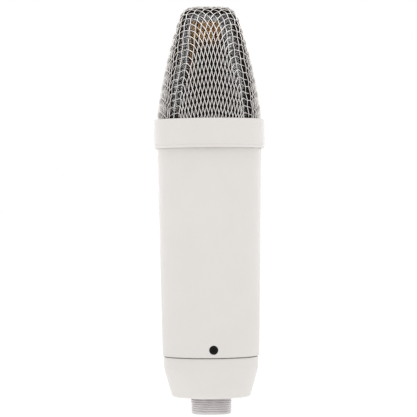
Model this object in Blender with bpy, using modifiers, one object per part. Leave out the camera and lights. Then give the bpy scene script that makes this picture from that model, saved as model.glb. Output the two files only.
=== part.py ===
"""Side-address studio condenser microphone on a threaded three-pin connector.

Frame: +Z up along the body axis, -Y is the side that faces the sound source, and the origin is the
centre of the connector's lower rim. Lengths are in metres.

From the bottom up: a threaded connector barrel, a tapered end cap, a tapered body sleeve round two
frame rails and a circuit board, a collar, and a wedge-shaped wire head round a rubber-mounted capsule.
"""

import math

import bmesh
import bpy
from mathutils import Matrix, Vector

MM = 0.001
GAP = 0.3 * MM
MERGE = 0.00001

# ---- driving dimensions ----
TOTAL_HEIGHT = 190.0 * MM
STEPS = 40

THREAD_R = 9.6 * MM
THREAD_ROOT_R = 9.1 * MM
THREAD_PITCH = 1.0 * MM
BARREL_R = 9.4 * MM
BARREL_BORE_R = 8.1 * MM

CAP_BOTTOM_Z = 7.8 * MM
CAP_BOTTOM_R = 18.6 * MM
CAP_TOP_R = 22.0 * MM
CAP_TOP_Z = 26.4 * MM
CAP_FLOOR_Z = 12.0 * MM
NECK_R = 20.6 * MM
NECK_BORE_R = 17.5 * MM
NECK_TOP_Z = 35.0 * MM

SLEEVE_BOTTOM_Z = 27.1 * MM
SLEEVE_BOTTOM_R = 22.55 * MM
SLEEVE_TOP_Z = 130.6 * MM
SLEEVE_TAPER = 0.01702
SLEEVE_WALL = 1.6 * MM
REBATE_R = 21.9 * MM
REBATE_HEIGHT = 1.4 * MM
SIDE_SCREW_Z = 30.6 * MM

COLLAR_BOTTOM_Z = 123.5 * MM
COLLAR_TOP_Z = 137.0 * MM
COLLAR_R = 25.75 * MM
COLLAR_BORE_R = 24.65 * MM
SHELF_R = 22.0 * MM
SHELF_Z = 131.0 * MM
SHELF_TOP_Z = 133.5 * MM

HEAD_BASE_Z = COLLAR_TOP_Z
HEAD_HEIGHT = TOTAL_HEIGHT - HEAD_BASE_Z
HEAD_R = 24.2 * MM
OUTER_WIRE_DEPTH = 1.1 * MM
INNER_MESH_INSET = 1.6 * MM
INNER_MESH_DEPTH = 0.5 * MM

RAIL_X = 16.4 * MM
RAIL_THICK = 1.6 * MM
RAIL_WIDE = 5.0 * MM
RAIL_TOP_Z = 128.0 * MM
BOARD_THICK = 1.6 * MM
BOARD_HALF_WIDTH = 15.3 * MM
BOARD_BOTTOM_Z = 40.0 * MM
BOARD_TOP_Z = 122.0 * MM

BOARD_SCREW_X = 13.0 * MM
BOARD_SCREW_HEIGHTS = (46.0 * MM, 117.0 * MM)
RAIL_SCREW_X = 19.05 * MM
DECK_SCREW_X = 12.4 * MM
FRONT = -BOARD_THICK / 2 - GAP
BACK = BOARD_THICK / 2 + GAP

DECK_Z = 128.3 * MM
DECK_THICK = 2.5 * MM
DECK_R = 19.8 * MM
PLATFORM_Z = 135.0 * MM
PLATFORM_THICK = 2.0 * MM
PLATFORM_R = 18.8 * MM
ISOLATOR_R = 14.8 * MM
ISOLATOR_ANGLES = (30, 150, 270)
STEM_R = 2.5 * MM
PIVOT_Z = PLATFORM_Z + PLATFORM_THICK / 2
TERMINAL_X = 12.8 * MM
TERMINAL_Y = -3.2 * MM

CAPSULE_Y = -1.5 * MM
CAPSULE_Z = 166.5 * MM
CAPSULE_R = 16.5 * MM

PIN_CIRCLE_R = 4.4 * MM
PIN_R = 1.2 * MM
PIN_ANGLES = (135, 45, 270)


# ---- scene and materials ----
for old in list(bpy.data.objects):
    bpy.data.objects.remove(old)

PARTS = bpy.data.collections.new("studio_microphone")
CUTTERS = bpy.data.collections.new("cutters")
bpy.context.scene.collection.children.link(PARTS)
bpy.context.scene.collection.children.link(CUTTERS)


def material(name, colour, roughness, metallic=0.0):
    made = bpy.data.materials.new(name)
    made.use_nodes = True
    shader = made.node_tree.nodes["Principled BSDF"]
    shader.inputs["Base Color"].default_value = (*colour, 1.0)
    shader.inputs["Roughness"].default_value = roughness
    shader.inputs["Metallic"].default_value = metallic
    made.diffuse_color = (*colour, 1.0)
    return made


WHITE_PAINT = material("white_paint", (0.76, 0.73, 0.70), 0.38)
MESH_WIRE = material("mesh_wire", (0.62, 0.60, 0.58), 0.32, 1.0)
NICKEL = material("nickel", (0.60, 0.58, 0.58), 0.30, 1.0)
BLACK_SCREW = material("black_screw", (0.02, 0.02, 0.02), 0.35, 1.0)
STEEL = material("steel", (0.62, 0.61, 0.59), 0.35, 1.0)
BLACK_PLASTIC = material("black_plastic", (0.03, 0.03, 0.03), 0.55)
RUBBER = material("rubber", (0.05, 0.05, 0.05), 0.85)
BRASS = material("brass", (0.78, 0.55, 0.25), 0.30, 1.0)
GOLD_FILM = material("gold_film", (0.93, 0.72, 0.32), 0.22, 1.0)
CIRCUIT_BOARD = material("circuit_board", (0.03, 0.16, 0.08), 0.50)
CAPACITOR = material("capacitor_sleeve", (0.05, 0.07, 0.20), 0.40)
LEAD_WIRE = material("lead_wire", (0.55, 0.07, 0.05), 0.55)


# ---- shape helpers ----
def place(name, mesh, look, collection=PARTS):
    made = bpy.data.objects.new(name, mesh)
    made.data.materials.append(look)
    collection.objects.link(made)
    return made


def bake(piece):
    """Turns the piece's modifiers into its mesh and shades it smooth, with sharp edges above 35 degrees."""
    graph = bpy.context.evaluated_depsgraph_get()
    mesh = bpy.data.meshes.new_from_object(piece.evaluated_get(graph))
    piece.modifiers.clear()
    piece.data = mesh
    mesh.shade_smooth()
    mesh.set_sharp_from_angle(angle=math.radians(35))
    return piece


def turned(name, profile, look, steps=STEPS, collection=PARTS):
    """A solid of revolution about Z. The profile is (radius, z) points running down the outer side.
    A profile that starts and ends on the axis stays open there; any other is closed into a ring."""
    on_axis = profile[0][0] == 0 and profile[-1][0] == 0
    count = len(profile)
    edges = [(i, (i + 1) % count) for i in range(count - 1 if on_axis else count)]
    mesh = bpy.data.meshes.new(name)
    mesh.from_pydata([(r, 0, z) for r, z in profile], edges, [])
    piece = place(name, mesh, look, collection)
    screw = piece.modifiers.new("turn", "SCREW")
    screw.axis = "Z"
    screw.steps = steps
    screw.render_steps = steps
    screw.use_merge_vertices = True
    screw.merge_threshold = MERGE
    return bake(piece)


def block(name, low, high, look, bevel=0.0, collection=PARTS):
    """A box between two corners, with rounded edges if bevel is given."""
    shape = bmesh.new()
    bmesh.ops.create_cube(shape, size=1.0)
    size = Vector(high) - Vector(low)
    bmesh.ops.scale(shape, vec=size, verts=shape.verts)
    mesh = bpy.data.meshes.new(name)
    shape.to_mesh(mesh)
    shape.free()
    piece = place(name, mesh, look, collection)
    piece.location = (Vector(low) + Vector(high)) / 2
    if bevel:
        rounding = piece.modifiers.new("edges", "BEVEL")
        rounding.width = bevel
        rounding.segments = 1
    return piece


def plate(name, outline, y_low, y_high, look, collection=PARTS):
    """A flat plate between two depths along Y, from its (x, z) outline."""
    curve = bpy.data.curves.new(name, "CURVE")
    curve.dimensions = "2D"
    curve.fill_mode = "BOTH"
    curve.extrude = (y_high - y_low) / 2
    spline = curve.splines.new("POLY")
    spline.use_cyclic_u = True
    spline.points.add(len(outline) - 1)
    for target, (x, z) in zip(spline.points, outline):
        target.co = (x, z, 0, 1)
    flat = place(name, curve, look, collection)
    graph = bpy.context.evaluated_depsgraph_get()
    mesh = bpy.data.meshes.new_from_object(flat.evaluated_get(graph))
    bpy.data.objects.remove(flat)
    weld(mesh)
    piece = place(name, mesh, look, collection)
    piece.rotation_euler = (math.radians(90), 0, 0)
    piece.location = (0, (y_low + y_high) / 2, 0)
    return piece


def weld(mesh):
    """Joins a converted curve's caps to its sides."""
    shape = bmesh.new()
    shape.from_mesh(mesh)
    bmesh.ops.remove_doubles(shape, verts=shape.verts, dist=MERGE)
    shape.to_mesh(mesh)
    shape.free()


def rod(name, radius, start, end, look, steps=16, collection=PARTS):
    """A plain cylinder between two points."""
    start, end = Vector(start), Vector(end)
    shape = bmesh.new()
    bmesh.ops.create_cone(
        shape, cap_ends=True, segments=steps, radius1=radius, radius2=radius, depth=(end - start).length
    )
    mesh = bpy.data.meshes.new(name)
    shape.to_mesh(mesh)
    shape.free()
    piece = place(name, mesh, look, collection)
    piece.rotation_mode = "QUATERNION"
    piece.rotation_quaternion = (end - start).to_track_quat("Z", "Y")
    piece.location = (start + end) / 2
    return piece


def hide(cutter):
    """Moves a helper shape out of the model, so that only the cuts made with it stay."""
    cutter.hide_render = True
    cutter.display_type = "WIRE"
    return cutter


def boolean(piece, other, operation):
    hide(other)
    step = piece.modifiers.new(operation.lower(), "BOOLEAN")
    step.operation = operation
    step.solver = "EXACT"
    step.object = other


def drill(piece, radius, start, end, steps=16):
    """Cuts a round hole between two points."""
    name = f"{piece.name}_hole_{len(piece.modifiers)}"
    boolean(piece, rod(name, radius, start, end, piece.data.materials[0], steps, CUTTERS), "DIFFERENCE")


def wire(name, points, radius, look):
    """A round wire through points, as a poly curve with closed ends."""
    curve = bpy.data.curves.new(name, "CURVE")
    curve.dimensions = "3D"
    curve.bevel_depth = radius
    curve.bevel_resolution = 1
    curve.use_fill_caps = True
    spline = curve.splines.new("POLY")
    spline.points.add(len(points) - 1)
    for target, point in zip(spline.points, points):
        target.co = (*point, 1.0)
    return place(name, curve, look)


def smooth_path(stops, per_leg=4):
    """Points on a smooth curve through all the stops (Catmull-Rom)."""
    stops = [Vector(stop) for stop in stops]
    padded = [2 * stops[0] - stops[1]] + stops + [2 * stops[-1] - stops[-2]]
    points = []
    for a, b, c, d in zip(padded, padded[1:], padded[2:], padded[3:]):
        for i in range(per_leg):
            t = i / per_leg
            bend = (2 * a - 5 * b + 4 * c - d) * t * t + (3 * b - a - 3 * c + d) * t**3
            points.append(b + ((c - a) * t + bend) / 2)
    return points + [stops[-1]]


def arc(centre, radius, first, last, count=4):
    """Profile points (r, z) on an arc, from angle first to angle last in degrees."""
    angles = [math.radians(first + (last - first) * i / count) for i in range(count + 1)]
    return [(centre[0] + radius * math.cos(a), centre[1] + radius * math.sin(a)) for a in angles]


def screw_profile(head_r, head_h, shank_r, length, socket_r):
    """A pan-head screw, head up, with its head's underside at z = 0 and a round socket in the head."""
    socket_h = head_h * 0.6
    return [
        (0, head_h - socket_h),
        (socket_r, head_h - socket_h),
        (socket_r, head_h),
        (head_r * 0.75, head_h),
        (head_r, head_h * 0.6),
        (head_r, 0),
        (shank_r, 0),
        (shank_r, -length + shank_r * 0.6),
        (shank_r * 0.4, -length),
        (0, -length),
    ]


def fastener(name, head, direction, length, head_r=1.9 * MM):
    """A steel pan-head screw whose head's underside is at head, pointing along direction."""
    piece = turned(name, screw_profile(head_r, 1.3 * MM, 0.9 * MM, length, 0.8 * MM), STEEL, 12)
    piece.rotation_mode = "QUATERNION"
    piece.rotation_quaternion = (-Vector(direction)).to_track_quat("Z", "Y")
    piece.location = head
    return piece


def polar(radius, degrees, z):
    angle = math.radians(degrees)
    return Vector((radius * math.cos(angle), radius * math.sin(angle), z))


# ---- the head's shape ----
def side_half_width(t):
    """Half of the head's depth along Y at height share t: a wedge with a rounded top corner."""
    wedge = min(1.0, 1.016 * (1 - 0.269 * t - 0.236 * t * t))
    return HEAD_R * wedge * (1 - t**40) ** (1 / 6)


def front_half_width(t):
    """Half of the head's width along X at height share t: straight sides under a round arch."""
    return HEAD_R * (1 - 0.05 * t) * (1 - t**4.5) ** (1 / 2.2)


def section_power(t):
    """Superellipse exponent of the head's level section: round at the collar, squarer near the top."""
    return 2.0 + 0.7 * min(1.0, max(0.0, t))


def head_shell(name, inset, thick, look, around, rows, bottom_z):
    """The head's outline moved in by inset, as an open-bottomed shell that is thick deep."""
    shape = bmesh.new()
    rings = []
    shares = [math.sin(math.pi / 2 * i / rows) for i in range(rows)]
    heights = [bottom_z] + [HEAD_BASE_Z + HEAD_HEIGHT * share for share in shares]
    for z in heights:
        t = max(0.0, (z - HEAD_BASE_Z) / HEAD_HEIGHT)
        power = 2 / section_power(t)
        ring = []
        for k in range(around):
            angle = 2 * math.pi * k / around
            c, s = math.cos(angle), math.sin(angle)
            x = front_half_width(t) * math.copysign(abs(c) ** power, c)
            y = side_half_width(t) * math.copysign(abs(s) ** power, s)
            ring.append(shape.verts.new((x, y, z)))
        rings.append(ring)
    for lower, upper in zip(rings, rings[1:]):
        for k in range(around):
            n = (k + 1) % around
            shape.faces.new((lower[k], lower[n], upper[n], upper[k]))
    apex = shape.verts.new((0, 0, TOTAL_HEIGHT))
    for k in range(around):
        shape.faces.new((rings[-1][k], rings[-1][(k + 1) % around], apex))
    bmesh.ops.recalc_face_normals(shape, faces=shape.faces)
    for corner in shape.verts:
        corner.normal_update()
    for corner, normal in [(v, v.normal.copy()) for v in shape.verts]:
        level = Vector((normal.x, normal.y, 0)).normalized() if corner in rings[0] else normal
        corner.co -= level * inset
    mesh = bpy.data.meshes.new(name)
    shape.to_mesh(mesh)
    shape.free()
    piece = place(name, mesh, look)
    skin = piece.modifiers.new("thickness", "SOLIDIFY")
    skin.thickness = thick
    skin.offset = -1
    skin.use_rim = True
    return bake(piece)


# ---- outer housing ----
def make_end_cap():
    """Tapered base with a neck that the sleeve fits over; its floor carries the connector."""
    corner_r, hole_r = 1.5 * MM, BARREL_R + 0.5 * MM
    profile = [(NECK_BORE_R, NECK_TOP_Z), (NECK_R - 0.4 * MM, NECK_TOP_Z), (NECK_R, NECK_TOP_Z - 0.4 * MM)]
    profile += [(NECK_R, CAP_TOP_Z), (CAP_TOP_R - 0.2 * MM, CAP_TOP_Z), (CAP_TOP_R, CAP_TOP_Z - 0.2 * MM)]
    profile += [(CAP_TOP_R, 22.0 * MM), (CAP_TOP_R - 0.2 * MM, 20.8 * MM), (CAP_TOP_R - 0.6 * MM, 19.2 * MM)]
    profile += arc((CAP_BOTTOM_R - corner_r, CAP_BOTTOM_Z + corner_r), corner_r, -15, -90)
    profile += [(hole_r, CAP_BOTTOM_Z), (hole_r, CAP_FLOOR_Z), (16.9 * MM, CAP_FLOOR_Z)]
    profile += [(NECK_BORE_R, 17.0 * MM)]
    cap = turned("end_cap", profile, WHITE_PAINT)
    for side in (1, -1):
        drill(cap, 1.35 * MM, (side * 15 * MM, 0, SIDE_SCREW_Z), (side * 23 * MM, 0, SIDE_SCREW_Z))
        drill(cap, 1.2 * MM, (side * RAIL_SCREW_X, 0, 32.2 * MM), (side * RAIL_SCREW_X, 0, 37 * MM))
        drill(cap, 1.25 * MM, (0, side * 13.4 * MM, 9.9 * MM), (0, side * 13.4 * MM, 14 * MM))
    return cap


def make_gasket():
    """Rubber ring round the neck, inside the rebate at the foot of the sleeve."""
    low, high = SLEEVE_BOTTOM_Z - 0.1 * MM, SLEEVE_BOTTOM_Z + 1.1 * MM
    inner, outer = NECK_R + GAP, REBATE_R - GAP
    return turned("cap_gasket", [(outer, high), (outer, low), (inner, low), (inner, high)], RUBBER)


def sleeve_radius(z):
    return SLEEVE_BOTTOM_R + (z - SLEEVE_BOTTOM_Z) * SLEEVE_TAPER


def sideways(piece, side):
    """Turns a piece modelled along +Z so that it points along +X or -X at the side screws' height."""
    turn = Matrix.Rotation(math.radians(90 * side), 4, "Y")
    piece.matrix_world = Matrix.Translation((0, 0, SIDE_SCREW_Z)) @ turn
    return piece


def make_sleeve():
    """Tapered tube from the end cap up into the collar, countersunk on both sides for the side screws."""
    top, bottom = SLEEVE_TOP_Z, SLEEVE_BOTTOM_Z
    edge = 0.4 * MM
    profile = [
        (sleeve_radius(top), top),
        (sleeve_radius(bottom + edge), bottom + edge),
        (SLEEVE_BOTTOM_R - edge, bottom),
        (REBATE_R, bottom),
        (REBATE_R, bottom + REBATE_HEIGHT),
        (sleeve_radius(bottom + REBATE_HEIGHT) - SLEEVE_WALL, bottom + REBATE_HEIGHT),
        (sleeve_radius(top) - SLEEVE_WALL, top),
    ]
    sleeve = turned("body_sleeve", profile, WHITE_PAINT)
    for side in (1, -1):
        funnel = [(0, 30 * MM), (2.4 * MM, 30 * MM), (2.4 * MM, 22.25 * MM), (1.45 * MM, 21.15 * MM)]
        funnel += [(1.45 * MM, 15 * MM), (0, 15 * MM)]
        cutter = sideways(turned(f"screw_seat_{side}", funnel, WHITE_PAINT, 24, CUTTERS), side)
        boolean(sleeve, cutter, "DIFFERENCE")
    return sleeve


def make_side_screw(name, side):
    """Black countersunk screw with a hexagon socket, flush with the sleeve."""
    head_r, root_r, flush = 2.0 * MM, 1.0 * MM, 22.5 * MM
    profile = [(0, flush), (head_r, flush), (head_r, flush - 0.2 * MM), (root_r, flush - 1.25 * MM)]
    profile += [(root_r, 18.2 * MM), (0, 18.2 * MM)]
    screw = turned(name, profile, BLACK_SCREW, 24)
    low, high = (0, 0, flush - 0.9 * MM), (0, 0, flush + MM)
    boolean(screw, rod(f"{name}_socket", 1.0 * MM, low, high, BLACK_SCREW, 6, CUTTERS), "DIFFERENCE")
    return sideways(bake(screw), side)


def make_collar():
    """Ring round the top of the sleeve, with an inner shelf that the head's wire rests on."""
    round_r = 1.15 * MM
    bead = 0.4 * MM
    profile = [(COLLAR_R - bead, COLLAR_TOP_Z), (COLLAR_R, COLLAR_TOP_Z - bead)]
    profile += arc((COLLAR_R - round_r, COLLAR_BOTTOM_Z + round_r), round_r, 0, -90)
    profile += [(COLLAR_BORE_R, COLLAR_BOTTOM_Z), (COLLAR_BORE_R, SHELF_Z), (SHELF_R, SHELF_Z)]
    seat_r = HEAD_R + 0.45 * MM
    profile += [(SHELF_R, SHELF_TOP_Z), (seat_r, SHELF_TOP_Z), (seat_r, COLLAR_TOP_Z)]
    return turned("grille_collar", profile, WHITE_PAINT)


def make_clamp_ring():
    """Steel ring inside the foot of the head that presses both wire layers against the collar."""
    outer = HEAD_R - INNER_MESH_INSET - INNER_MESH_DEPTH - 1.5 * GAP
    inner, low, high = outer - 1.1 * MM, SHELF_TOP_Z + GAP, 136.6 * MM
    return turned("grille_clamp_ring", [(outer, high), (outer, low), (inner, low), (inner, high)], STEEL)


# ---- connector ----
def make_barrel():
    """Threaded metal tube with an inside flange; the lower part stands out of the end cap."""
    profile = [(BARREL_R, 23.0 * MM), (BARREL_R, 14.3 * MM), (16.4 * MM, 14.3 * MM), (16.4 * MM, 12.3 * MM)]
    profile += [(BARREL_R, 12.3 * MM), (BARREL_R, 8.4 * MM), (THREAD_ROOT_R, 8.0 * MM)]
    for i in range(7):
        crest_z = 7.5 * MM - i * THREAD_PITCH
        profile += [(THREAD_R, crest_z), (THREAD_ROOT_R, crest_z - THREAD_PITCH / 2)]
    profile += [(THREAD_ROOT_R, 0.0), (BARREL_BORE_R + 0.4 * MM, 0.0), (BARREL_BORE_R, 0.5 * MM)]
    profile += [(BARREL_BORE_R, 15.2 * MM), (8.7 * MM, 15.2 * MM), (8.7 * MM, 23.0 * MM)]
    barrel = turned("connector_barrel", profile, NICKEL, 32)
    low, high = (-1.3 * MM, 7.5 * MM, -1 * MM), (1.3 * MM, 8.55 * MM, 13 * MM)
    boolean(barrel, block("barrel_keyway", low, high, NICKEL, collection=CUTTERS), "DIFFERENCE")
    for side in (1, -1):
        drill(barrel, 1.2 * MM, (0, side * 13.4 * MM, 11 * MM), (0, side * 13.4 * MM, 16 * MM), 12)
    return barrel


def pin_place(angle, z):
    return polar(PIN_CIRCLE_R, angle, z)


def make_insert():
    """Moulded disc inside the barrel that carries the three pins."""
    low, high, radius = 15.5 * MM, 21.0 * MM, 8.4 * MM
    profile = [(0, high), (radius, high), (radius, low), (radius - 0.6 * MM, low), (1.4 * MM, low)]
    profile += [(1.4 * MM, low + 1.2 * MM), (0, low + 1.2 * MM)]
    insert = turned("connector_insert", profile, BLACK_PLASTIC, 24)
    for angle in PIN_ANGLES:
        drill(insert, PIN_R + GAP, pin_place(angle, low - MM), pin_place(angle, high + MM), 12)
    return insert


def make_insert_clip():
    """Split spring ring above the insert."""
    outer, inner, low, high = 8.4 * MM, 7.4 * MM, 21.3 * MM, 22.1 * MM
    clip = turned("insert_clip", [(outer, high), (outer, low), (inner, low), (inner, high)], STEEL, 24)
    corner, far = (-1.2 * MM, -9 * MM, 20 * MM), (1.2 * MM, -6.5 * MM, 23 * MM)
    boolean(clip, block("clip_slot", corner, far, STEEL, collection=CUTTERS), "DIFFERENCE")
    return clip


def make_pin(name, angle):
    """Contact pin with a domed tip and a solder cup at its upper end."""
    tip, top = 3.4 * MM, 25.0 * MM
    cup_r, cup_z = 0.75 * MM, top - 2.2 * MM
    profile = [(0, cup_z), (cup_r, cup_z), (cup_r, top), (PIN_R, top)]
    profile += [(PIN_R, tip + 0.8 * MM), (PIN_R * 0.8, tip + 0.25 * MM), (PIN_R * 0.35, tip), (0, tip)]
    pin = turned(name, profile, NICKEL, 12)
    pin.location = pin_place(angle, 0)
    return pin


# ---- frame and electronics ----
def make_rail(name, side):
    """Upright steel strip with a foot on the end cap's neck, a tab under the deck and two board lugs."""
    inner, outer, half = RAIL_X - RAIL_THICK / 2, RAIL_X + RAIL_THICK / 2, RAIL_WIDE / 2
    foot_z, root = NECK_TOP_Z + GAP, inner + 0.5 * MM

    def piece(label, low, high, collection=CUTTERS):
        x_low, x_high = sorted((side * low[0], side * high[0]))
        return block(label, (x_low, *low[1:]), (x_high, *high[1:]), STEEL, collection=collection)

    rail = piece(name, (inner, -half, foot_z), (outer, half, RAIL_TOP_Z), PARTS)
    foot = piece(f"{name}_foot", (root, -half, foot_z), (20.4 * MM, half, foot_z + RAIL_THICK))
    tab = piece(f"{name}_tab", (10 * MM, -half, RAIL_TOP_Z - RAIL_THICK), (root, half, RAIL_TOP_Z))
    lug_y = BOARD_THICK / 2 + GAP
    lugs = [
        piece(f"{name}_lug_{i}", (10.6 * MM, lug_y, z - 2.5 * MM), (root, half, z + 2.5 * MM))
        for i, z in enumerate(BOARD_SCREW_HEIGHTS)
    ]
    for extra in (foot, tab, *lugs):
        boolean(rail, extra, "UNION")
    bake(rail)
    for z in BOARD_SCREW_HEIGHTS:
        drill(rail, 1.2 * MM, (side * BOARD_SCREW_X, 0, z), (side * BOARD_SCREW_X, 4 * MM, z), 12)
    for x, z in ((RAIL_SCREW_X, foot_z), (DECK_SCREW_X, RAIL_TOP_Z)):
        drill(rail, 1.2 * MM, (side * x, 0, z - 3 * MM), (side * x, 0, z + 3 * MM), 12)
    return rail


def make_board():
    board = block(
        "main_board",
        (-BOARD_HALF_WIDTH, -BOARD_THICK / 2, BOARD_BOTTOM_Z),
        (BOARD_HALF_WIDTH, BOARD_THICK / 2, BOARD_TOP_Z),
        CIRCUIT_BOARD,
    )
    for side in (1, -1):
        for z in BOARD_SCREW_HEIGHTS:
            drill(board, 1.2 * MM, (side * BOARD_SCREW_X, -3 * MM, z), (side * BOARD_SCREW_X, 3 * MM, z), 12)
    return board


def make_can(name, x, z, radius, height, side, look):
    """Round component standing off the board on the front (-1) or back (+1) side."""
    base = FRONT if side < 0 else BACK
    bead, foot_r = radius * 0.2, radius * 0.93
    profile = [(0, height), (radius - bead, height), (radius, height - bead), (radius, bead)]
    profile += [(foot_r, bead * 0.7), (foot_r, 0), (0, 0)]
    can = turned(name, profile, look, 20)
    can.rotation_mode = "QUATERNION"
    can.rotation_quaternion = Vector((0, side, 0)).to_track_quat("Z", "Y")
    can.location = (x, base, z)
    return can


def make_coil():
    """Ferrite drum core with its winding, standing on the back of the board."""
    profile = [(0, 8.0), (5.0, 8.0), (5.0, 6.7), (4.2, 6.5), (4.2, 1.5), (5.0, 1.3), (5.0, 0), (0, 0)]
    coil = turned("filter_coil", [(r * MM, z * MM) for r, z in profile], CAPACITOR, 20)
    coil.rotation_mode = "QUATERNION"
    coil.rotation_quaternion = Vector((0, 1, 0)).to_track_quat("Z", "Y")
    coil.location = (0, BACK, 62 * MM)
    return coil


# ---- capsule suspension ----
def make_deck():
    deck = turned(
        "capsule_deck",
        [
            (DECK_R, DECK_Z + DECK_THICK),
            (DECK_R, DECK_Z),
            (5.5 * MM, DECK_Z),
            (5.5 * MM, DECK_Z + DECK_THICK),
        ],
        BLACK_PLASTIC,
        40,
    )
    low, high = DECK_Z - MM, DECK_Z + DECK_THICK + MM
    for side in (1, -1):
        drill(deck, 1.2 * MM, (side * DECK_SCREW_X, 0, low), (side * DECK_SCREW_X, 0, high), 12)
    for angle in ISOLATOR_ANGLES:
        drill(deck, 1.9 * MM, polar(ISOLATOR_R, angle, low), polar(ISOLATOR_R, angle, high), 12)
    return deck


def make_isolator_pin(name, angle):
    """Headed pin fixed in the deck; its shank guides the grommet and its head stops it."""
    deck_top = DECK_Z + DECK_THICK + GAP
    profile = [(0, 141.2), (2.4, 141.2), (2.8, 140.8), (2.8, 140.3), (1.5, 140.3)]
    profile = [(r * MM, z * MM) for r, z in profile]
    profile += [(1.5 * MM, deck_top + 0.9 * MM), (3.0 * MM, deck_top + 0.9 * MM), (3.0 * MM, deck_top)]
    profile += [(1.5 * MM, deck_top), (1.5 * MM, DECK_Z - 1.5 * MM), (0, DECK_Z - 1.5 * MM)]
    pin = turned(name, profile, STEEL, 12)
    pin.location = polar(ISOLATOR_R, angle, 0)
    return pin


def make_grommet(name, angle):
    """Rubber spool snapped into the platform; its bore runs on the isolator pin."""
    low, high = PLATFORM_Z, PLATFORM_Z + PLATFORM_THICK
    profile = [(2.7, high + 1.5 * MM), (3.4, high + 1.2 * MM), (3.4, high + GAP), (2.5, high + GAP)]
    profile += [(2.5, low - GAP), (3.4, low - GAP), (3.4, low - 1.2 * MM), (2.7, low - 1.5 * MM)]
    profile += [(1.9, low - 1.5 * MM), (1.9, high + 1.5 * MM)]
    grommet = turned(name, [(r * MM, z) for r, z in profile], RUBBER, 16)
    grommet.location = polar(ISOLATOR_R, angle, 0)
    return grommet


def make_platform():
    """Floating disc that carries the stem bush on three grommets."""
    low, high = PLATFORM_Z, PLATFORM_Z + PLATFORM_THICK
    platform = turned(
        "floating_platform",
        [(PLATFORM_R, high), (PLATFORM_R, low), (6.4 * MM, low), (6.4 * MM, high)],
        BLACK_PLASTIC,
        40,
    )
    for angle in ISOLATOR_ANGLES:
        start, end = polar(ISOLATOR_R, angle, low - MM), polar(ISOLATOR_R, angle, high + MM)
        drill(platform, 2.9 * MM, start, end)
    for x in (TERMINAL_X, -TERMINAL_X):
        drill(platform, 1.1 * MM, (x, TERMINAL_Y, low - MM), (x, TERMINAL_Y, high + MM), 12)
    return platform


def make_terminal(name, side):
    """Turned solder post through the platform, where the upper and lower capsule leads meet."""
    low, high = PLATFORM_Z, PLATFORM_Z + PLATFORM_THICK
    profile = [(0, high + 2.6 * MM), (0.9 * MM, high + 2.6 * MM), (0.9 * MM, high + 2.0 * MM)]
    profile += [(0.6 * MM, high + 1.8 * MM), (0.6 * MM, high + 1.1 * MM), (1.5 * MM, high + 0.9 * MM)]
    profile += [(1.5 * MM, high + GAP), (0.8 * MM, high + GAP), (0.8 * MM, low - 1.4 * MM)]
    profile += [(0, low - 1.4 * MM)]
    post = turned(name, profile, BRASS, 12)
    post.location = (side * TERMINAL_X, TERMINAL_Y, 0)
    return post


def make_bush():
    """Rubber bush in the middle of the platform that holds the capsule stem."""
    low, high = PLATFORM_Z, PLATFORM_Z + PLATFORM_THICK
    profile = [(7.2, high + 1.2 * MM), (7.6, high + 0.9 * MM), (7.6, high + GAP), (6.0, high + GAP)]
    profile += [(6.0, low - GAP), (7.6, low - GAP), (7.6, low - 0.9 * MM), (7.2, low - 1.2 * MM)]
    profile += [(3.0, low - 1.2 * MM), (3.0, high + 1.2 * MM)]
    return turned("stem_bush", [(r * MM, z) for r, z in profile], RUBBER, 24)


# ---- capsule ----
def facing(piece):
    """Turns a piece modelled along +Z so that its axis points to the front, at the capsule's centre."""
    turn = Matrix.Rotation(math.radians(90), 4, "X")
    piece.matrix_world = Matrix.Translation((0, CAPSULE_Y, CAPSULE_Z)) @ turn
    return piece


def make_saddle():
    """Moulded cradle round the capsule's lower half on a flared skirt, with the stem that stands in the bush."""
    band_in, band_out, half = CAPSULE_R + GAP, CAPSULE_R + 2.0 * MM, 4.6 * MM
    band = [(band_out, half), (band_out, -half), (band_in, -half), (band_in, half)]
    saddle = facing(turned("capsule_saddle", band, BLACK_PLASTIC))
    reach, mouth_z = 25 * MM, CAPSULE_Z + 2 * MM
    mouth = [(-reach, mouth_z), (reach, mouth_z), (reach, mouth_z + reach), (-reach, mouth_z + reach)]
    boolean(saddle, plate("saddle_mouth", mouth, -reach, reach, BLACK_PLASTIC, CUTTERS), "DIFFERENCE")
    skirt_top = 144.6 * MM
    profile = [(0, skirt_top), (6.8, skirt_top), (7.8, 143.6 * MM), (10.8, 140.0 * MM), (10.8, 139.2 * MM)]
    profile += [(9.8, 139.2 * MM), (6.6, 142.4 * MM), (STEM_R / MM, 142.4 * MM)]
    profile += [(STEM_R / MM, 133.2 * MM), (1.9, 132.6 * MM), (0, 132.6 * MM)]
    skirt = turned("saddle_skirt", [(r * MM, z) for r, z in profile], BLACK_PLASTIC, 24, CUTTERS)
    boolean(saddle, skirt, "UNION")
    web = [(-7.0, 142.7), (7.0, 142.7), (12.2, 153.6), (-12.2, 153.6)]
    web = [(x * MM, z * MM) for x, z in web]
    low, high = CAPSULE_Y - half, CAPSULE_Y + half
    boolean(saddle, plate("saddle_web", web, low, high, BLACK_PLASTIC, CUTTERS), "UNION")
    bake(saddle)
    start, end = (0, CAPSULE_Y - 20 * MM, CAPSULE_Z), (0, CAPSULE_Y + 20 * MM, CAPSULE_Z)
    boolean(saddle, rod("saddle_hollow", band_in, start, end, BLACK_PLASTIC, STEPS, CUTTERS), "DIFFERENCE")
    return saddle


def make_drum():
    """Brass backplate drum of the capsule, with a tapped hole for the centre terminal."""
    half, edge, hole_r = 4.0 * MM, 0.3 * MM, 1.3 * MM
    profile = [(0, half - 3.0 * MM), (hole_r, half - 3.0 * MM), (hole_r, half), (CAPSULE_R - edge, half)]
    profile += [(CAPSULE_R, half - edge), (CAPSULE_R, edge - half), (CAPSULE_R - edge, -half), (0, -half)]
    return facing(turned("capsule_drum", profile, BRASS))


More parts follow.
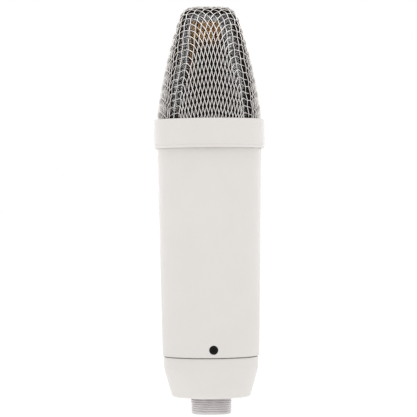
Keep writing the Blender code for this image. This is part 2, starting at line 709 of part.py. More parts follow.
def make_diaphragm():
    low, high = 4.0 * MM + GAP, 4.6 * MM
    ring = [(15.2 * MM, high), (15.2 * MM, low), (1.3 * MM, low), (1.3 * MM, high)]
    return facing(turned("diaphragm", ring, GOLD_FILM))


def make_front_ring():
    low, high, edge = 4.6 * MM + GAP, 6.4 * MM, 0.4 * MM
    profile = [(12.9 * MM, high), (CAPSULE_R - edge, high), (CAPSULE_R, high - edge), (CAPSULE_R, low)]
    profile += [(12.5 * MM, low), (12.5 * MM, high - 0.5 * MM)]
    return facing(turned("front_clamp_ring", profile, BRASS))


def make_rear_plate():
    """Perforated rear cover of the capsule, with a round vent in the middle."""
    low, high = -6.4 * MM, -4.0 * MM - GAP
    profile = [(CAPSULE_R, high), (CAPSULE_R, low + 0.4 * MM), (CAPSULE_R - 0.4 * MM, low), (3.0 * MM, low)]
    profile += [(3.0 * MM, high)]
    return facing(turned("rear_vent_plate", profile, BRASS))


def make_centre_terminal():
    """Small screw through the diaphragm that takes the signal lead."""
    under = 4.6 * MM + GAP
    profile = [(0, under + MM), (1.7 * MM, under + MM), (2.0 * MM, under + 0.7 * MM), (2.0 * MM, under)]
    profile += [(0.9 * MM, under), (0.9 * MM, 1.6 * MM), (0, 1.6 * MM)]
    return facing(turned("centre_terminal", profile, BRASS, 16))


# ---- assembly ----
def lead(name, stops, radius=0.4):
    wire(name, smooth_path([Vector(stop) * MM for stop in stops]), radius * MM, LEAD_WIRE)


def make_leads():
    """Leads from the pins to the header, and capsule leads in two stages that meet at the posts."""
    for number, angle in enumerate(PIN_ANGLES, 1):
        x, y, z = pin_place(angle, 25.4 * MM) / MM
        end_x = (number - 2) * 2.6
        stops = [(x, y, z), (x, y - 1, 29), (end_x, -6, 34.5), (end_x, -3.6, 38.3)]
        lead(f"output_lead_{number}", stops, 0.5)
    for name, side in (("signal", 1), ("polarity", -1)):
        stops = [(5, -2.1, 120.5), (4.2, -2.6, 125), (2.8, -2.4, 131), (7.5, -3, 132.3), (12.8, -3.2, 132.8)]
        lead(f"{name}_lead_lower", [(side * x, y, z) for x, y, z in stops])
    stops = [(12.8, -5.0, 138.6), (10.5, -8.2, 143), (6, -9.4, 149), (2.4, -9.2, 158), (1.0, -8.4, 165)]
    lead("signal_lead_upper", stops)
    lead("polarity_lead_upper", [(-12.8, -1.4, 138.6), (-14, 3, 142), (-12.8, 6.2, 149), (-9, 5.7, 160.5)])


def make_housing():
    make_end_cap()
    make_gasket()
    make_sleeve()
    make_side_screw("side_screw_right", 1)
    make_side_screw("side_screw_left", -1)
    make_collar()
    make_clamp_ring()
    head_shell("outer_grille", 0.0, OUTER_WIRE_DEPTH, MESH_WIRE, 32, 10, SHELF_TOP_Z + GAP)
    head_shell("inner_grille", INNER_MESH_INSET, INNER_MESH_DEPTH, MESH_WIRE, 32, 8, SHELF_TOP_Z + GAP)


def make_connector():
    make_barrel()
    for side, name in ((1, "barrel_screw_rear"), (-1, "barrel_screw_front")):
        fastener(name, (0, side * 13.4 * MM, 14.6 * MM), (0, 0, -1), 4.2 * MM)
    make_insert()
    make_insert_clip()
    for number, angle in enumerate(PIN_ANGLES, 1):
        make_pin(f"connector_pin_{number}", angle)


def make_frame():
    foot_top, deck_top = NECK_TOP_Z + GAP + RAIL_THICK, DECK_Z + DECK_THICK
    for name, side in (("right", 1), ("left", -1)):
        make_rail(f"frame_rail_{name}", side)
        head = (side * RAIL_SCREW_X, 0, foot_top + GAP)
        fastener(f"rail_screw_{name}", head, (0, 0, -1), 4.6 * MM, 1.5 * MM)
        fastener(f"deck_screw_{name}", (side * DECK_SCREW_X, 0, deck_top + GAP), (0, 0, -1), 5.5 * MM)
        for label, z in zip(("low", "high"), BOARD_SCREW_HEIGHTS):
            fastener(f"board_screw_{label}_{name}", (side * BOARD_SCREW_X, FRONT, z), (0, 1, 0), 4.4 * MM)


def make_electronics():
    make_board()
    low, high = (-4.4 * MM, FRONT - 5 * MM, 39 * MM), (4.4 * MM, FRONT, 45 * MM)
    block("output_header", low, high, BLACK_PLASTIC, 0.3 * MM)
    low, high = (-7 * MM, FRONT - 6 * MM, 92 * MM), (7 * MM, FRONT, 105 * MM)
    block("coupling_capacitor", low, high, LEAD_WIRE, 0.6 * MM)
    make_can("reservoir_capacitor_upper", -6.0 * MM, 78 * MM, 4.0 * MM, 9.5 * MM, -1, CAPACITOR)
    make_can("reservoir_capacitor_lower", 6.0 * MM, 66 * MM, 4.0 * MM, 9.5 * MM, -1, CAPACITOR)
    for name, x in (("right", 6.5), ("left", -6.5)):
        low = ((x - 3.9) * MM, BACK, 76 * MM)
        high = ((x + 3.9) * MM, BACK + 3.0 * MM, 87 * MM)
        block(f"output_transistor_{name}", low, high, BLACK_PLASTIC, 0.3 * MM)
    make_coil()
    block("input_shield", (-8.5 * MM, BACK, 96 * MM), (8.5 * MM, BACK + 5 * MM, 112 * MM), STEEL, 0.5 * MM)


def make_suspension():
    make_deck()
    for number, angle in enumerate(ISOLATOR_ANGLES, 1):
        make_isolator_pin(f"isolator_pin_{number}", angle)
        make_grommet(f"rubber_grommet_{number}", angle)
    make_platform()
    make_terminal("signal_terminal", 1)
    make_terminal("polarity_terminal", -1)
    make_bush()


def make_capsule():
    make_saddle()
    make_drum()
    make_diaphragm()
    make_front_ring()
    make_rear_plate()
    make_centre_terminal()


def carry(name, labels):
    """Hangs the pieces with these names on an empty at the suspension's pivot, without moving them."""
    pivot = bpy.data.objects.new(name, None)
    pivot.location = (0, 0, PIVOT_Z)
    PARTS.objects.link(pivot)
    bpy.context.view_layer.update()
    for label in labels:
        piece = bpy.data.objects[label]
        piece.parent = pivot
        piece.matrix_parent_inverse = pivot.matrix_world.inverted()
    return pivot


def make_moving_groups():
    """The platform slides along Z and the capsule rocks about X, both at the pivot."""
    grommets = [f"rubber_grommet_{number}" for number in (1, 2, 3)]
    terminals = ["signal_terminal", "polarity_terminal"]
    lower_leads = ["signal_lead_lower", "polarity_lead_lower"]
    upper_leads = ["signal_lead_upper", "polarity_lead_upper"]
    slide = carry("platform_slide", ["floating_platform", "stem_bush"] + grommets + terminals + lower_leads)
    discs = ["capsule_drum", "diaphragm", "front_clamp_ring", "rear_vent_plate", "centre_terminal"]
    rock = carry("capsule_rock", ["capsule_saddle"] + discs + upper_leads)
    rock.parent = slide
    rock.matrix_parent_inverse = slide.matrix_world.inverted()


make_housing()
make_connector()
make_frame()
make_electronics()
make_suspension()
make_capsule()
make_leads()
make_moving_groups()
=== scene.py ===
"""Looks of a side-address studio condenser microphone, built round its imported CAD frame.

Everything is in metres in the CAD's frame: +Z up along the body axis, -Y is the side that faces the sound
source, and the origin is the centre of the connector's lower rim. Shape helpers take millimetres.
"""

import math

import bmesh
import bpy
import numpy as np
from mathutils import Matrix, Vector


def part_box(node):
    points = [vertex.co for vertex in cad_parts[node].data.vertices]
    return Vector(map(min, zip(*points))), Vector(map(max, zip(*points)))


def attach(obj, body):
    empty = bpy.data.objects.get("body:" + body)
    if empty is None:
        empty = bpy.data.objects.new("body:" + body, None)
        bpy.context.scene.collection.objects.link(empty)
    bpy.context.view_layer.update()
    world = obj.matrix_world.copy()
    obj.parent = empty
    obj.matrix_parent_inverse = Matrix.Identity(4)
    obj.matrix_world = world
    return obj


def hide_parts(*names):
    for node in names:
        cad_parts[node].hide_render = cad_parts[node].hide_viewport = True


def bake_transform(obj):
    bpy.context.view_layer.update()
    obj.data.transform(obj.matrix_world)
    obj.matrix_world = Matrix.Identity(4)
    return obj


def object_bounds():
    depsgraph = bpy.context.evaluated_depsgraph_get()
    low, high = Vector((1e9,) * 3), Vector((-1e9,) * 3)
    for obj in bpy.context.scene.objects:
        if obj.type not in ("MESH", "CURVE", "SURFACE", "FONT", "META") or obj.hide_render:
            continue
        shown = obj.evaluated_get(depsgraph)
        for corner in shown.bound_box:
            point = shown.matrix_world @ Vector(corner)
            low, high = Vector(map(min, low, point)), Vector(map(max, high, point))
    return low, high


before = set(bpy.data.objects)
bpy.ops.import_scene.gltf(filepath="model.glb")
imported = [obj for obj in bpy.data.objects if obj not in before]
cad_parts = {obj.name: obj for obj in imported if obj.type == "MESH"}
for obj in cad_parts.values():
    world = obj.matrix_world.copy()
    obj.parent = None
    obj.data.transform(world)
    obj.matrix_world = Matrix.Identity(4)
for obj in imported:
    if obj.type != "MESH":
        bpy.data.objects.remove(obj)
CAD_LOW, CAD_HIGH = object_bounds()

MM = 0.001
LATHE_STEPS = 128
# Edges sharper than this many degrees stay sharp. Pieces with rounded edges have the wider limit.
CREASE = 32
ROUNDED_CREASE = 40
# Most values of a noise texture lie between these.
NOISE_LOW, NOISE_HIGH = 0.3, 0.7


# ---- places taken from the CAD ----
def corners(node):
    """Lowest and highest corner of a CAD node, in millimetres."""
    low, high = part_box(node)
    return low / MM, high / MM


COLLAR_LOW, COLLAR_HIGH = corners("grille_collar")
SLEEVE_LOW, SLEEVE_HIGH = corners("body_sleeve")
CAP_LOW, CAP_HIGH = corners("end_cap")
BARREL_HIGH = corners("connector_barrel")[1]
DRUM_LOW, DRUM_HIGH = corners("capsule_drum")
SCREW_LOW, SCREW_HIGH = corners("side_screw_right")

HEAD_BASE = COLLAR_HIGH.z
HEAD_TOP = CAD_HIGH.z / MM
# Radius of the wire head at its base.
HEAD_R = 24.2
CAPSULE_R = DRUM_HIGH.x
CAPSULE_Y = (DRUM_LOW.y + DRUM_HIGH.y) / 2
CAPSULE_Z = (DRUM_LOW.z + DRUM_HIGH.z) / 2
SCREW_Z = (SCREW_LOW.z + SCREW_HIGH.z) / 2


# ---- materials ----
class Look:
    """A node material with a Principled shader and short ways to feed it."""

    def __init__(self, name, colour, roughness, metallic=0.0):
        self.made = bpy.data.materials.new(name)
        self.made.use_nodes = True
        self.tree = self.made.node_tree
        self.shader = self.tree.nodes["Principled BSDF"]
        self.place = self.add("ShaderNodeTexCoord").outputs["Object"]
        self.set("Base Color", (*colour, 1.0))
        self.set("Roughness", roughness)
        self.set("Metallic", metallic)
        self.made.diffuse_color = (*colour, 1.0)

    def add(self, kind, **values):
        node = self.tree.nodes.new(kind)
        for key, value in values.items():
            setattr(node, key, value)
        return node

    def link(self, source, target):
        self.tree.links.new(source, target)

    def set(self, socket, value):
        self.shader.inputs[socket].default_value = value

    def stretched(self, scale):
        """Object coordinates stretched by a scale for each axis."""
        mapping = self.add("ShaderNodeMapping")
        mapping.inputs["Scale"].default_value = scale
        self.link(self.place, mapping.inputs["Vector"])
        return mapping.outputs["Vector"]

    def noise_at(self, place, per_metre, detail):
        node = self.add("ShaderNodeTexNoise")
        node.inputs["Scale"].default_value = per_metre
        node.inputs["Detail"].default_value = detail
        self.link(place, node.inputs["Vector"])
        return node.outputs["Fac"]

    def noise(self, per_metre, detail, stretch=None):
        return self.noise_at(self.stretched(stretch) if stretch else self.place, per_metre, detail)

    def turned_grooves(self, per_metre):
        """Noise that only changes with the height and the distance from the Z axis, like lathe marks."""
        parts = self.add("ShaderNodeSeparateXYZ")
        self.link(self.place, parts.inputs["Vector"])
        flat = self.add("ShaderNodeCombineXYZ")
        for label in "XY":
            self.link(parts.outputs[label], flat.inputs[label])
        length = self.add("ShaderNodeVectorMath", operation="LENGTH")
        self.link(flat.outputs["Vector"], length.inputs[0])
        both = self.add("ShaderNodeCombineXYZ")
        self.link(length.outputs["Value"], both.inputs["X"])
        self.link(parts.outputs["Z"], both.inputs["Y"])
        return self.noise_at(both.outputs["Vector"], per_metre, 3.0)

    def spread(self, source, low, high, socket):
        """Feeds a shader socket with a value that runs from low to high as source runs over its middle."""
        node = self.add("ShaderNodeMapRange")
        span = {"From Min": NOISE_LOW, "From Max": NOISE_HIGH, "To Min": low, "To Max": high}
        for name, value in span.items():
            node.inputs[name].default_value = value
        self.link(source, node.inputs["Value"])
        self.link(node.outputs["Result"], self.shader.inputs[socket])

    def tint(self, source, first, second):
        """Base colour that runs between two colours as source runs over its middle."""
        ramp = self.add("ShaderNodeValToRGB")
        stops = ((NOISE_LOW, first), (NOISE_HIGH, second))
        for element, (position, colour) in zip(ramp.color_ramp.elements, stops):
            element.position = position
            element.color = (*colour, 1.0)
        self.link(source, ramp.inputs["Fac"])
        self.link(ramp.outputs["Color"], self.shader.inputs["Base Color"])

    def bump(self, source, depth, strength=1.0):
        """Relief of a given depth in metres."""
        node = self.add("ShaderNodeBump")
        node.inputs["Strength"].default_value = strength
        node.inputs["Distance"].default_value = depth
        self.link(source, node.inputs["Height"])
        previous = self.shader.inputs["Normal"].links
        if previous:
            self.link(previous[0].from_socket, node.inputs["Normal"])
        self.link(node.outputs["Normal"], self.shader.inputs["Normal"])


def white_paint():
    look = Look("white_paint", (0.76, 0.73, 0.70), 0.38)
    look.tint(look.noise(60, 3), (0.752, 0.722, 0.695), (0.772, 0.742, 0.714))
    look.spread(look.noise(220, 3), 0.34, 0.44, "Roughness")
    look.bump(look.noise(900, 2), 0.00002, 0.35)
    look.bump(look.noise(4500, 2), 0.000008, 0.3)
    look.set("Specular IOR Level", 0.25)
    look.set("Coat Weight", 0.1)
    look.set("Coat Roughness", 0.25)
    return look.made


def mesh_wire():
    look = Look("mesh_wire", (0.63, 0.605, 0.585), 0.3, 1.0)
    look.tint(look.noise(1400, 3), (0.60, 0.575, 0.555), (0.66, 0.635, 0.615))
    look.spread(look.noise(2600, 2), 0.20, 0.36, "Roughness")
    look.set("Specular Tint", (0.35, 0.34, 0.33, 1.0))
    look.bump(look.noise(9000, 2), 0.000006, 0.4)
    return look.made


def fine_wire_painted_shade():
    # Painted shade: the fine inner weave gets near-black metal, darker than its steel, standing in for the
    # shade inside the head behind the outer weave.
    look = Look("fine_wire_painted_shade", (0.028, 0.026, 0.024), 0.35, 1.0)
    look.set("Specular Tint", (0.08, 0.08, 0.08, 1.0))
    look.tint(look.noise(1500, 2), (0.022, 0.020, 0.018), (0.034, 0.032, 0.030))
    look.spread(look.noise(3000, 2), 0.30, 0.45, "Roughness")
    return look.made


def bare_nickel():
    look = Look("bare_nickel", (0.58, 0.56, 0.56), 0.34, 1.0)
    grooves = look.turned_grooves(2600)
    look.tint(look.noise(180, 3), (0.55, 0.53, 0.53), (0.61, 0.59, 0.59))
    look.spread(grooves, 0.26, 0.42, "Roughness")
    look.bump(grooves, 0.000012, 0.5)
    return look.made


def pin_nickel():
    look = Look("pin_nickel", (0.70, 0.66, 0.60), 0.22, 1.0)
    look.tint(look.noise(260, 3), (0.64, 0.61, 0.56), (0.76, 0.72, 0.66))
    look.spread(look.noise(1800, 2), 0.16, 0.30, "Roughness")
    look.bump(look.noise(1800, 2, (1, 1, 6)), 0.000008, 0.4)
    return look.made


def black_oxide():
    look = Look("black_oxide", (0.004, 0.004, 0.004), 0.4, 0.0)
    look.set("Specular IOR Level", 0.12)
    look.tint(look.noise(1200, 3), (0.003, 0.003, 0.003), (0.007, 0.007, 0.006))
    look.spread(look.noise(2200, 2), 0.28, 0.46, "Roughness")
    look.bump(look.noise(3600, 2), 0.00001, 0.4)
    return look.made


def brushed_steel():
    look = Look("brushed_steel", (0.60, 0.59, 0.57), 0.34, 1.0)
    strokes = look.noise(500, 4, (1, 1, 14))
    look.tint(strokes, (0.52, 0.51, 0.50), (0.66, 0.65, 0.63))
    look.spread(strokes, 0.26, 0.44, "Roughness")
    look.bump(strokes, 0.00001, 0.5)
    return look.made


def black_plastic():
    look = Look("black_plastic", (0.022, 0.022, 0.023), 0.5)
    look.tint(look.noise(240, 3), (0.018, 0.018, 0.019), (0.030, 0.030, 0.031))
    look.spread(look.noise(900, 2), 0.44, 0.60, "Roughness")
    look.bump(look.noise(3200, 3), 0.00002, 0.5)
    return look.made


def rubber(name, dark, light):
    look = Look(name, light, 0.8)
    look.tint(look.noise(300, 3), dark, light)
    look.spread(look.noise(700, 2), 0.72, 0.88, "Roughness")
    look.bump(look.noise(2400, 4), 0.00003, 0.6)
    return look.made


def turned_brass():
    look = Look("turned_brass", (0.96, 0.55, 0.22), 0.28, 1.0)
    marks = look.noise(420, 3)
    look.tint(marks, (0.93, 0.50, 0.18), (0.98, 0.60, 0.27))
    look.spread(look.noise(1500, 3), 0.22, 0.38, "Roughness")
    look.bump(look.noise(2600, 3, (1, 8, 1)), 0.000008, 0.5)
    return look.made


def gold_film():
    look = Look("gold_film", (0.96, 0.68, 0.31), 0.16, 1.0)
    look.tint(look.noise(160, 2), (0.93, 0.63, 0.27), (0.98, 0.73, 0.37))
    look.spread(look.noise(500, 2), 0.12, 0.22, "Roughness")
    look.bump(look.noise(120, 1), 0.00003, 0.25)
    return look.made


def circuit_board():
    """Green solder mask over copper runs, drawn as bands on a square grid."""
    look = Look("circuit_board", (0.02, 0.16, 0.07), 0.4)
    runs = look.add("ShaderNodeTexBrick", offset=0.5, squash=1.0)
    runs.inputs["Color1"].default_value = (0.012, 0.10, 0.045, 1.0)
    runs.inputs["Color2"].default_value = (0.020, 0.13, 0.060, 1.0)
    runs.inputs["Mortar"].default_value = (0.035, 0.22, 0.10, 1.0)
    sizes = {"Scale": 1.0, "Mortar Size": 0.5 * MM, "Brick Width": 5.2 * MM, "Row Height": 3.1 * MM}
    for name, value in sizes.items():
        runs.inputs[name].default_value = value
    turn = look.add("ShaderNodeMapping")
    turn.inputs["Rotation"].default_value = (math.radians(-90), 0, 0)
    look.link(look.place, turn.inputs["Vector"])
    look.link(turn.outputs["Vector"], runs.inputs["Vector"])
    look.link(runs.outputs["Color"], look.shader.inputs["Base Color"])
    look.bump(runs.outputs["Fac"], 0.00003, 0.5)
    look.spread(look.noise(900, 3), 0.32, 0.48, "Roughness")
    return look.made


def shrink_sleeve():
    look = Look("shrink_sleeve", (0.05, 0.07, 0.20), 0.3)
    look.tint(look.noise(400, 2), (0.035, 0.05, 0.15), (0.06, 0.085, 0.24))
    look.spread(look.noise(700, 2), 0.24, 0.38, "Roughness")
    look.bump(look.noise(1200, 2), 0.00001, 0.4)
    return look.made


def insulation(name, dark, light):
    look = Look(name, light, 0.45)
    look.tint(look.noise(500, 2), dark, light)
    look.spread(look.noise(1300, 2), 0.38, 0.55, "Roughness")
    look.bump(look.noise(1800, 2), 0.00001, 0.4)
    return look.made


WHITE_PAINT = white_paint()
MESH_WIRE = mesh_wire()
FINE_WIRE_PAINTED_SHADE = fine_wire_painted_shade()
NICKEL = bare_nickel()
PIN_NICKEL = pin_nickel()
BLACK_OXIDE = black_oxide()
STEEL = brushed_steel()
BLACK_PLASTIC = black_plastic()
RUBBER = rubber("rubber", (0.022, 0.022, 0.022), (0.042, 0.041, 0.040))
GREY_RUBBER = rubber("grey_rubber", (0.34, 0.33, 0.32), (0.40, 0.39, 0.38))
BRASS = turned_brass()
GOLD_FILM = gold_film()
BOARD_GREEN = circuit_board()
SLEEVE_BLUE = shrink_sleeve()
LEAD_RED = insulation("lead_red", (0.40, 0.03, 0.02), (0.55, 0.06, 0.04))
FILM_RED = insulation("film_red", (0.42, 0.05, 0.03), (0.50, 0.08, 0.05))
FERRITE = insulation("ferrite", (0.03, 0.03, 0.032), (0.055, 0.054, 0.053))
LEAD_BLACK = insulation("lead_black", (0.015, 0.015, 0.016), (0.035, 0.034, 0.034))


# ---- shape helpers, in millimetres ----
def build(name, points, faces, look, crease=CREASE):
    """A mesh piece from points in millimetres, smooth apart from edges sharper than crease degrees."""
    mesh = bpy.data.meshes.new(name)
    mesh.from_pydata((np.asarray(points, float) * MM).tolist(), [], faces)
    mesh.materials.append(look)
    piece = bpy.data.objects.new(name, mesh)
    bpy.context.scene.collection.objects.link(piece)
    return smooth(piece, crease)


def smooth(piece, crease=CREASE):
    """Smooth shading, apart from edges sharper than crease degrees, or all over when crease is None."""
    piece.data.shade_smooth()
    if crease:
        piece.data.set_sharp_from_angle(angle=math.radians(crease))
    return piece


def turned(name, profile, look, steps=LATHE_STEPS):
    """A solid of revolution about Z. The profile is (radius, z) points running down the outer side.
    A profile that starts and ends on the axis is a solid; any other is closed into a ring."""
    points, rings = [], []
    for radius, z in profile:
        start = len(points)
        if radius == 0:
            points.append((0, 0, z))
            rings.append([start] * steps)
        else:
            turns = [2 * math.pi * k / steps for k in range(steps)]
            points += [(radius * math.cos(a), radius * math.sin(a), z) for a in turns]
            rings.append(list(range(start, start + steps)))
    following = rings[1:] + (rings[:1] if profile[0][0] > 0 else [])
    faces = []
    for upper, lower in zip(rings, following):
        for k in range(steps):
            n = (k + 1) % steps
            face = list(dict.fromkeys((upper[k], lower[k], lower[n], upper[n])))
            if len(face) > 2:
                faces.append(face)
    return build(name, points, faces, look)


def arc(centre, radius, first, last, count=8):
    """Profile points (r, z) on an arc, from angle first to angle last in degrees."""
    angles = [math.radians(first + (last - first) * i / count) for i in range(count + 1)]
    return [(centre[0] + radius * math.cos(a), centre[1] + radius * math.sin(a)) for a in angles]


def rod(name, radius, start, end, look, steps=32):
    """A cylinder between two points, used as a cutter."""
    start, end = Vector(start), Vector(end)
    length = (end - start).length
    piece = turned(name, [(0, length), (radius, length), (radius, 0), (0, 0)], look, steps)
    turn = (end - start).to_track_quat("Z", "Y").to_matrix().to_4x4()
    return placed(piece, Matrix.Translation(start * MM) @ turn)


def box(name, low, high, look):
    xs, ys, zs = zip(low, high)
    points = [(x, y, z) for x in xs for y in ys for z in zs]
    faces = [(0, 1, 3, 2), (4, 6, 7, 5), (0, 4, 5, 1), (2, 3, 7, 6), (0, 2, 6, 4), (1, 5, 7, 3)]
    return build(name, points, faces, look)


def placed(piece, matrix):
    """Moves a piece's mesh, so that the object stays at the origin."""
    piece.data.transform(matrix)
    piece.data.update()
    return piece


def facing(piece):
    """Turns a piece modelled along +Z so that its axis points to the front, at the capsule's centre."""
    turn = Matrix.Rotation(math.radians(90), 4, "X")
    return placed(piece, Matrix.Translation(Vector((0, CAPSULE_Y, CAPSULE_Z)) * MM) @ turn)


def bake(piece, crease=CREASE):
    """Turns the piece's modifiers into its mesh."""
    graph = bpy.context.evaluated_depsgraph_get()
    mesh = bpy.data.meshes.new_from_object(piece.evaluated_get(graph))
    piece.modifiers.clear()
    piece.data = mesh
    return smooth(piece, crease)


def cut(piece, *cutters):
    """Cuts other pieces out of a piece, and removes them."""
    for cutter in cutters:
        step = piece.modifiers.new("cut", "BOOLEAN")
        step.operation = "DIFFERENCE"
        step.solver = "EXACT"
        step.object = cutter
    bake(piece)
    for cutter in cutters:
        bpy.data.objects.remove(cutter)
    return piece


def joined(parts):
    """One mesh made of several separate ones."""
    shape = bmesh.new()
    for part in parts:
        shape.from_mesh(part.data)
        bpy.data.objects.remove(part)
    mesh = bpy.data.meshes.new("joined")
    shape.to_mesh(mesh)
    shape.free()
    whole = bpy.data.objects.new("joined", mesh)
    bpy.context.scene.collection.objects.link(whole)
    return whole


def bevel_edges(piece, width, segments, angle):
    """Adds a bevel of a width in millimetres on edges sharper than angle degrees."""
    step = piece.modifiers.new("edges", "BEVEL")
    step.width = width * MM
    step.segments = segments
    step.limit_method = "ANGLE"
    step.angle_limit = math.radians(angle)
    return step


def rounded(piece, width, segments=2):
    """Rounds the piece's sharp edges."""
    bevel_edges(piece, width, segments, CREASE).use_clamp_overlap = True
    return bake(piece, ROUNDED_CREASE)


def stands_for(piece, node, body):
    """The piece replaces a CAD node, which it hides, and rides on its body."""
    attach(piece, body)
    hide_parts(node)
    return piece


def polar(radius, degrees, z):
    angle = math.radians(degrees)
    return Vector((radius * math.cos(angle), radius * math.sin(angle), z))


# ---- tubes and the woven head ----
SLOPE_STEP = 0.02
CORE_TOP = 168.0


def resample(values, at):
    """Values on a smooth curve (Catmull-Rom) through the rows of an array, at fractional row numbers."""
    last = len(values) - 1
    cell = np.clip(np.floor(at).astype(int), 0, last - 1)
    f = (at - cell).reshape((-1,) + (1,) * (values.ndim - 1))
    shares = (((2 - f) * f - 1) * f, (3 * f - 5) * f * f + 2, ((4 - 3 * f) * f + 1) * f, (f - 1) * f * f)
    rows = [np.clip(cell + step, 0, last) for step in (-1, 0, 1, 2)]
    return sum(share * values[row] for share, row in zip(shares, rows)) / 2


def tubes(name, lines, radius, sides, look):
    """Round wires with closed ends. Each line is its points and, at each one, a direction that faces out."""
    points, faces, start = [], [], 0
    turns = np.arange(sides) * 2 * math.pi / sides
    for path, out in lines:
        tangent = np.gradient(path, axis=0)
        side = np.cross(tangent, out)
        side /= np.linalg.norm(side, axis=1, keepdims=True)
        up = np.cross(side, tangent)
        up /= np.linalg.norm(up, axis=1, keepdims=True)
        around = np.cos(turns)[None, :, None] * up[:, None] + np.sin(turns)[None, :, None] * side[:, None]
        points.append((path[:, None] + radius * around).reshape(-1, 3))
        rows = np.arange(len(path) - 1)[:, None] * sides + start
        k = np.arange(sides)[None, :]
        n = (k + 1) % sides
        quads = np.stack([rows + n, rows + sides + n, rows + sides + k, rows + k], -1)
        faces += quads.reshape(-1, 4).tolist()
        end = start + (len(path) - 1) * sides
        faces += [list(range(start, start + sides))[::-1], list(range(end, end + sides))]
        start = end + sides
    return build(name, np.concatenate(points), faces, look, crease=None)


def section(share):
    """Half width along X, half width along Y and superellipse power of the head's level section, at a
    share of the height from its base. Seen from the front the head is an arch, and seen from the side
    it is a wedge with a flat top."""
    share = np.clip(share, 0, 1 - 1e-9)
    wide = HEAD_R * (1 - 0.05 * share) * (1 - share**4.5) ** (1 / 2.2)
    wedge = np.minimum(1, 1.016 * (1 - 0.269 * share - 0.236 * share * share))
    deep = HEAD_R * wedge * (1 - share**34) ** (1 / 5)
    return wide, deep, 2 + 0.7 * share


def inset_section(share, inset):
    """The section moved in by inset, or by less where it is narrower than 4 mm near the apex."""
    wide, deep, power = section(share)
    wide = np.maximum(wide - inset * np.minimum(1, wide / 4), 1e-6)
    deep = np.maximum(deep - inset * np.minimum(1, deep / 4), 1e-6)
    return wide, deep, power


def head_point(down, angle, inset):
    """Point of the head's surface moved in by inset. Down is 0 at the apex and 1 at the head's base, and
    its eighth power gives the flat top its share of the range."""
    share = 1 - down**8
    wide, deep, power = inset_section(share, inset)
    c, s = np.cos(angle), np.sin(angle)
    reach = ((np.abs(c) / wide) ** power + (np.abs(s) / deep) ** power) ** (-1 / power)
    height = HEAD_BASE + share * (HEAD_TOP - inset - HEAD_BASE)
    return np.stack([reach * c, reach * s, height], -1)


def level(points, inset):
    """Negative inside the head's surface moved in by inset, positive outside."""
    share = (points[..., 2] - HEAD_BASE) / (HEAD_TOP - inset - HEAD_BASE)
    wide, deep, power = inset_section(share, inset)
    value = (np.abs(points[..., 0]) / wide) ** power + (np.abs(points[..., 1]) / deep) ** power - 1
    return np.where(share >= 1, 1e3, value)


def outward(points, inset):
    """Unit vectors that stand on the head's surface."""
    slope = np.zeros_like(points)
    for axis, step in enumerate(np.eye(3) * SLOPE_STEP):
        slope[..., axis] = level(points + step, inset) - level(points - step, inset)
    return slope / np.linalg.norm(slope, axis=-1, keepdims=True)


def onto_head(points, inset):
    """Moves points along rays from the head's core, a line that ends below the apex, onto its surface."""
    core = np.zeros_like(points)
    core[..., 2] = np.minimum(points[..., 2], CORE_TOP)
    ray = points - core
    near, far = np.full(points.shape[:-1], 0.8), np.full(points.shape[:-1], 1.25)
    for _ in range(16):
        middle = (near + far) / 2
        out = level(core + ray * middle[..., None], inset) > 0
        far, near = np.where(out, middle, far), np.where(out, near, middle)
    return core + ray * near[..., None]


# ---- the sheet of woven wire, drawn over the head ----
# A cell's side is the distance between crossings, and its diagonals never close below the locked width.
CELL = 3.32
LOCKED_WIDTH = 1.62
RINGS = 26
# Cells within a few millimetres of a ridge are wider by this share, which grows from a distance below
# the apex, over a length. The even spacing along the surface sets in likewise.
WIDENING, WIDENED = 0.55, 4
WIDE_FROM, WIDE_OVER = 14, 20
EVEN_FROM, EVEN_OVER = 8, 14
# Beyond this distance from the apex a panel's end cells are closer to the ridge.
SKIRT_FROM, SKIRT_END = 45, 0.85
SAMPLES = 161
# Depths for head_point: the guess for the first ring, how far below the ring above a ring is sought, and
# the ratio to a ring's depth at which the next one is expected.
FIRST_DOWN, DOWN_SPAN, NEXT_RATIO = 0.3, 0.4, 1.02
OVERSHOOT = 1.2
# Insets run from the head's outline to the middle of each weave. A wire swings by its crimp to each side.
WEAVE_INSET = 0.53
FINE_INSET = WEAVE_INSET + 0.8
FINE_PER_CELL = 4
# Points along a coarse wire for each cell, and the fewest nodes that make a wire.
POINTS_PER_CELL, FEWEST_NODES = 6, 4
WIRE_R, WIRE_CRIMP = 0.2, 0.215
FINE_R, FINE_CRIMP = 0.135, 0.135
GRILLE_FOOT = corners("outer_grille")[0].z + 0.1


def ease(x):
    """Smooth step from 0 to 1."""
    x = min(1.0, max(0.0, x))
    return x * x * (3 - 2 * x)


def ridge_angle(reach):
    """Direction of the unsheared ridge at a distance along the sheet from the apex: it starts at 45
    degrees, and turns towards the sides half way down the head."""
    turn, where, length = 14, 36, 18.5
    return math.radians(45 - turn * math.exp(-(((reach - where) / length) ** 2)))


